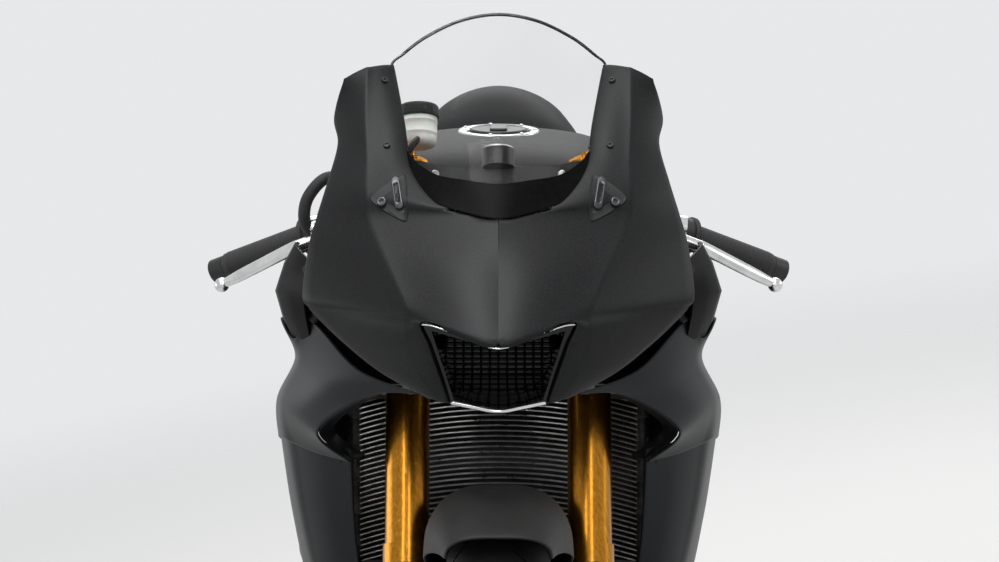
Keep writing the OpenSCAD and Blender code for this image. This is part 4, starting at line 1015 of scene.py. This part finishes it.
# Dust seals under the outer fork tubes and ridged foot pegs
def make_seals():
    seals, pegs = bmesh.new(), bmesh.new()
    lips = [(22, 0), (25.5, 1), (27.5, 4), (27.5, 8), (28.6, 9), (28.6, 12)]
    ridges = [(10, 0)]
    for h in range(0, 52, 5):
        ridges += [(11.2, h + 0.5), (12.2, h + 1.2), (12.2, h + 3.2), (11.2, h + 4)]
    for side in (1, -1):
        lathe(seals, Vector((side * 107.5, 0, 236)), UP, lips, 40)
        lathe(pegs, Vector((side * 206, 222, 401.6)), Vector((side * 92, 0, 4)), ridges + [(10, 55.5)], 18)
    add_piece("dust_seals", seals, "steering", "rubber", STEER)
    add_piece("peg_ridges", pegs, "frame", "frame_metal", PARKED)


# Rubber bushes under the panels, tank and seat: carrier, panel, radius; those off the middle come in pairs
BUSHES = [
    ((0, -458, 825.5), (0, -467, 829.5), 14), ((129, -603, 941), (135, -612, 946.5), 8),
    ((212, -561.5, 819), (217, -562, 812), 7), ((220.4, -588.7, 877), (221.5, -592, 878), 6),
    ((150, -69, 293), (169, -69, 293), 8), ((120.4, -216.7, 791.8), (117.4, -215, 794.8), 12),
    ((88, 293, 806), (88, 293, 808.6), 10),
]


def make_bushes():
    bm = bmesh.new()
    for carrier, panel, r in BUSHES:
        for turn in (SIDES if carrier[0] else SIDES[:1]):
            foot, head = Vector(carrier) * turn, Vector(panel) * turn
            gap = (head - foot).length
            profile = [(r, -5), (r, 0.25 * gap), (0.8 * r, 0.5 * gap), (r, 0.75 * gap), (r, gap + 1)]
            lathe(bm, foot, head - foot, profile, 24)
    add_piece("panel_bushes", bm, "frame", "rubber", PARKED)


# Radiator: bow, front, low and high edge, half width, and how much its tubes fall toward the sides
RAD_BOW, RAD_FRONT, RAD_LOW, RAD_HIGH, RAD_HALF = 800.0, -398.0, 490.0, 694.0, 168.0
RAD_SAG = 1 / 1300


def bowed(x, z, back):
    r = RAD_BOW + back
    return Vector((x, RAD_FRONT - RAD_BOW + math.sqrt(r * r - x * x), z))


def core_steps(steps):
    return [RAD_HALF * (2 * i / steps - 1) for i in range(steps + 1)]


# Core with rails, side tanks, pegs and filler
def make_core():
    core = (RAD_LOW, 5), (RAD_HIGH, 5), (RAD_HIGH, 23), (RAD_LOW, 23)
    rail = (1, -1), (6, -1), (7, 1), (7, 23), (6, 25), (1, 25), (0, 23), (0, 1)
    filler = [(14, 0), (14, 16), (18, 18), (18, 26), (16, 29), (9, 30), (8, 32)]
    peg = [(9, 0), (9, 6), (7, 8), (7, 96), (6, 98)]
    tank = [(10, -2), (14, 0)]
    for z in range(24, 200, 40):
        tank += [(14, z), (15, z + 1), (15, z + 5), (14, z + 6)]
    tank += [(14, 218), (10, 220)]
    bm = bmesh.new()
    loft(bm, [[bowed(x, z, back) for z, back in core] for x in core_steps(48)])
    for low in (RAD_LOW - 4, RAD_HIGH - 3):
        loft(bm, [[bowed(x, low + z, back) for z, back in rail] for x in core_steps(48)])
    for side in (-1, 1):
        lathe(bm, Vector((side * 175, -402.7, RAD_LOW - 6)), UP, tank, 24)
        lathe(bm, Vector((side * 81, -388, 600)), Vector((0, 1, 0)), peg)
    lathe(bm, Vector((-120, -384, RAD_HIGH - 4)), UP, filler, 32)
    add_piece("radiator_core", bm, "frame", "radiator", PARKED, ("radiator",))


# Flat tubes and the folded fins between them, left out where they would fall past the core
def make_tubes():
    tubes, fins = bmesh.new(), bmesh.new()
    count, step = 34, 6.5
    tube = (0.7, 5.2), (0.8, 0.8), (0.4, 0.1), (-0.4, 0.1), (-0.8, 0.8), (-0.7, 5.2)
    fin = (0, 1.6), (0, 5.4)

    def section(bm, x, z, shape):
        sag = x * x * RAD_SAG
        if not RAD_LOW < z - sag < RAD_HIGH:
            return None
        return [bm.verts.new(bowed(x, z + dz - sag, back)) for dz, back in shape]

    for n in range(count):
        z = RAD_LOW + 4 + n * step
        rings = [section(tubes, x, z, tube) for x in core_steps(48)]
        for a, b in zip(rings, rings[1:]):
            for j in range(5 if a and b else 0):
                tubes.faces.new((a[j], a[j + 1], b[j + 1], b[j])).smooth = True
        folds = [z + 1.0, z + step - 1.0]
        line = [section(fins, x, folds[i % 2], fin) for i, x in enumerate(core_steps(150))]
        for a, b in zip(line, line[1:]):
            if a and b:
                fins.faces.new((a[0], b[0], b[1], a[1]))
    bmesh.ops.recalc_face_normals(tubes, faces=tubes.faces)
    add_piece("radiator_tubes", tubes, "frame", "steel", PARKED)
    add_piece("radiator_fins", fins, "frame", "radiator", PARKED, finish="fin")


# Seat: crowned foam under a stitched cover
SEAT = [(143, 92, 808, 858, 2.6), (190, 122, 800, 856, 2.9), (270, 142, 804, 858, 3.1),
        (350, 138, 814, 866, 3.1), (412, 112, 828, 882, 2.8)]


def make_seat():
    seam_at, cross_at = 0.74, 0.62
    rows = fine(SEAT, 14)
    rings = []
    for n, s in enumerate(rows):
        t = n / (len(rows) - 1)
        ends = min(1.0, 6 * t, 6 * (1 - t))
        cross = 2.0 * math.exp(-((t - cross_at) / 0.012) ** 2)
        ring = []
        for p in rounded(s, 96):
            lift = (p.z - (s[2] + s[3]) / 2) / ((s[3] - s[2]) / 2)
            u = abs(p.x) / s[1]
            if lift > 0:
                seam = 2.4 * math.exp(-((u - seam_at) / 0.022) ** 2)
                p.z += ends * lift * (4.0 * (1 - u * u) - seam - cross * (u < seam_at))
                p.z += 0.5 * ends * noise.noise(p * 0.02)
            p.x *= 1.0 + 0.006 * noise.noise(p * 0.03)
            ring.append(p)
        rings.append(ring)
    bm = bmesh.new()
    loft(bm, rings)
    seat = add_piece("seat_cushion", bm, "frame", "seat", PARKED, ("rider_seat",))


cowl_skin, cowl_lip = make_cowl()
make_screen()
fairing_skins = make_fairings()
make_belly()
make_tank()
make_tail()
make_mudguard()
make_hugger()
make_tyre("front", FRONT_WHEEL, FRONT_RADIUS, 120.0, FRONT_CROWN, 44.5, 14, 0.26)
make_tyre("rear", REAR_WHEEL, REAR_RADIUS, 180.0, REAR_CROWN, 70.0, 13, 0.3)
make_chain()
make_core()
make_tubes()
make_seat()
make_plugs(cowl_skin)
make_trim(cowl_lip)
make_grille(cowl_lip)
make_reservoir()
make_lock()
make_blades()
make_grips()
make_cap()
make_display()
make_fasteners(fairing_skins)
make_seals()
make_bushes()
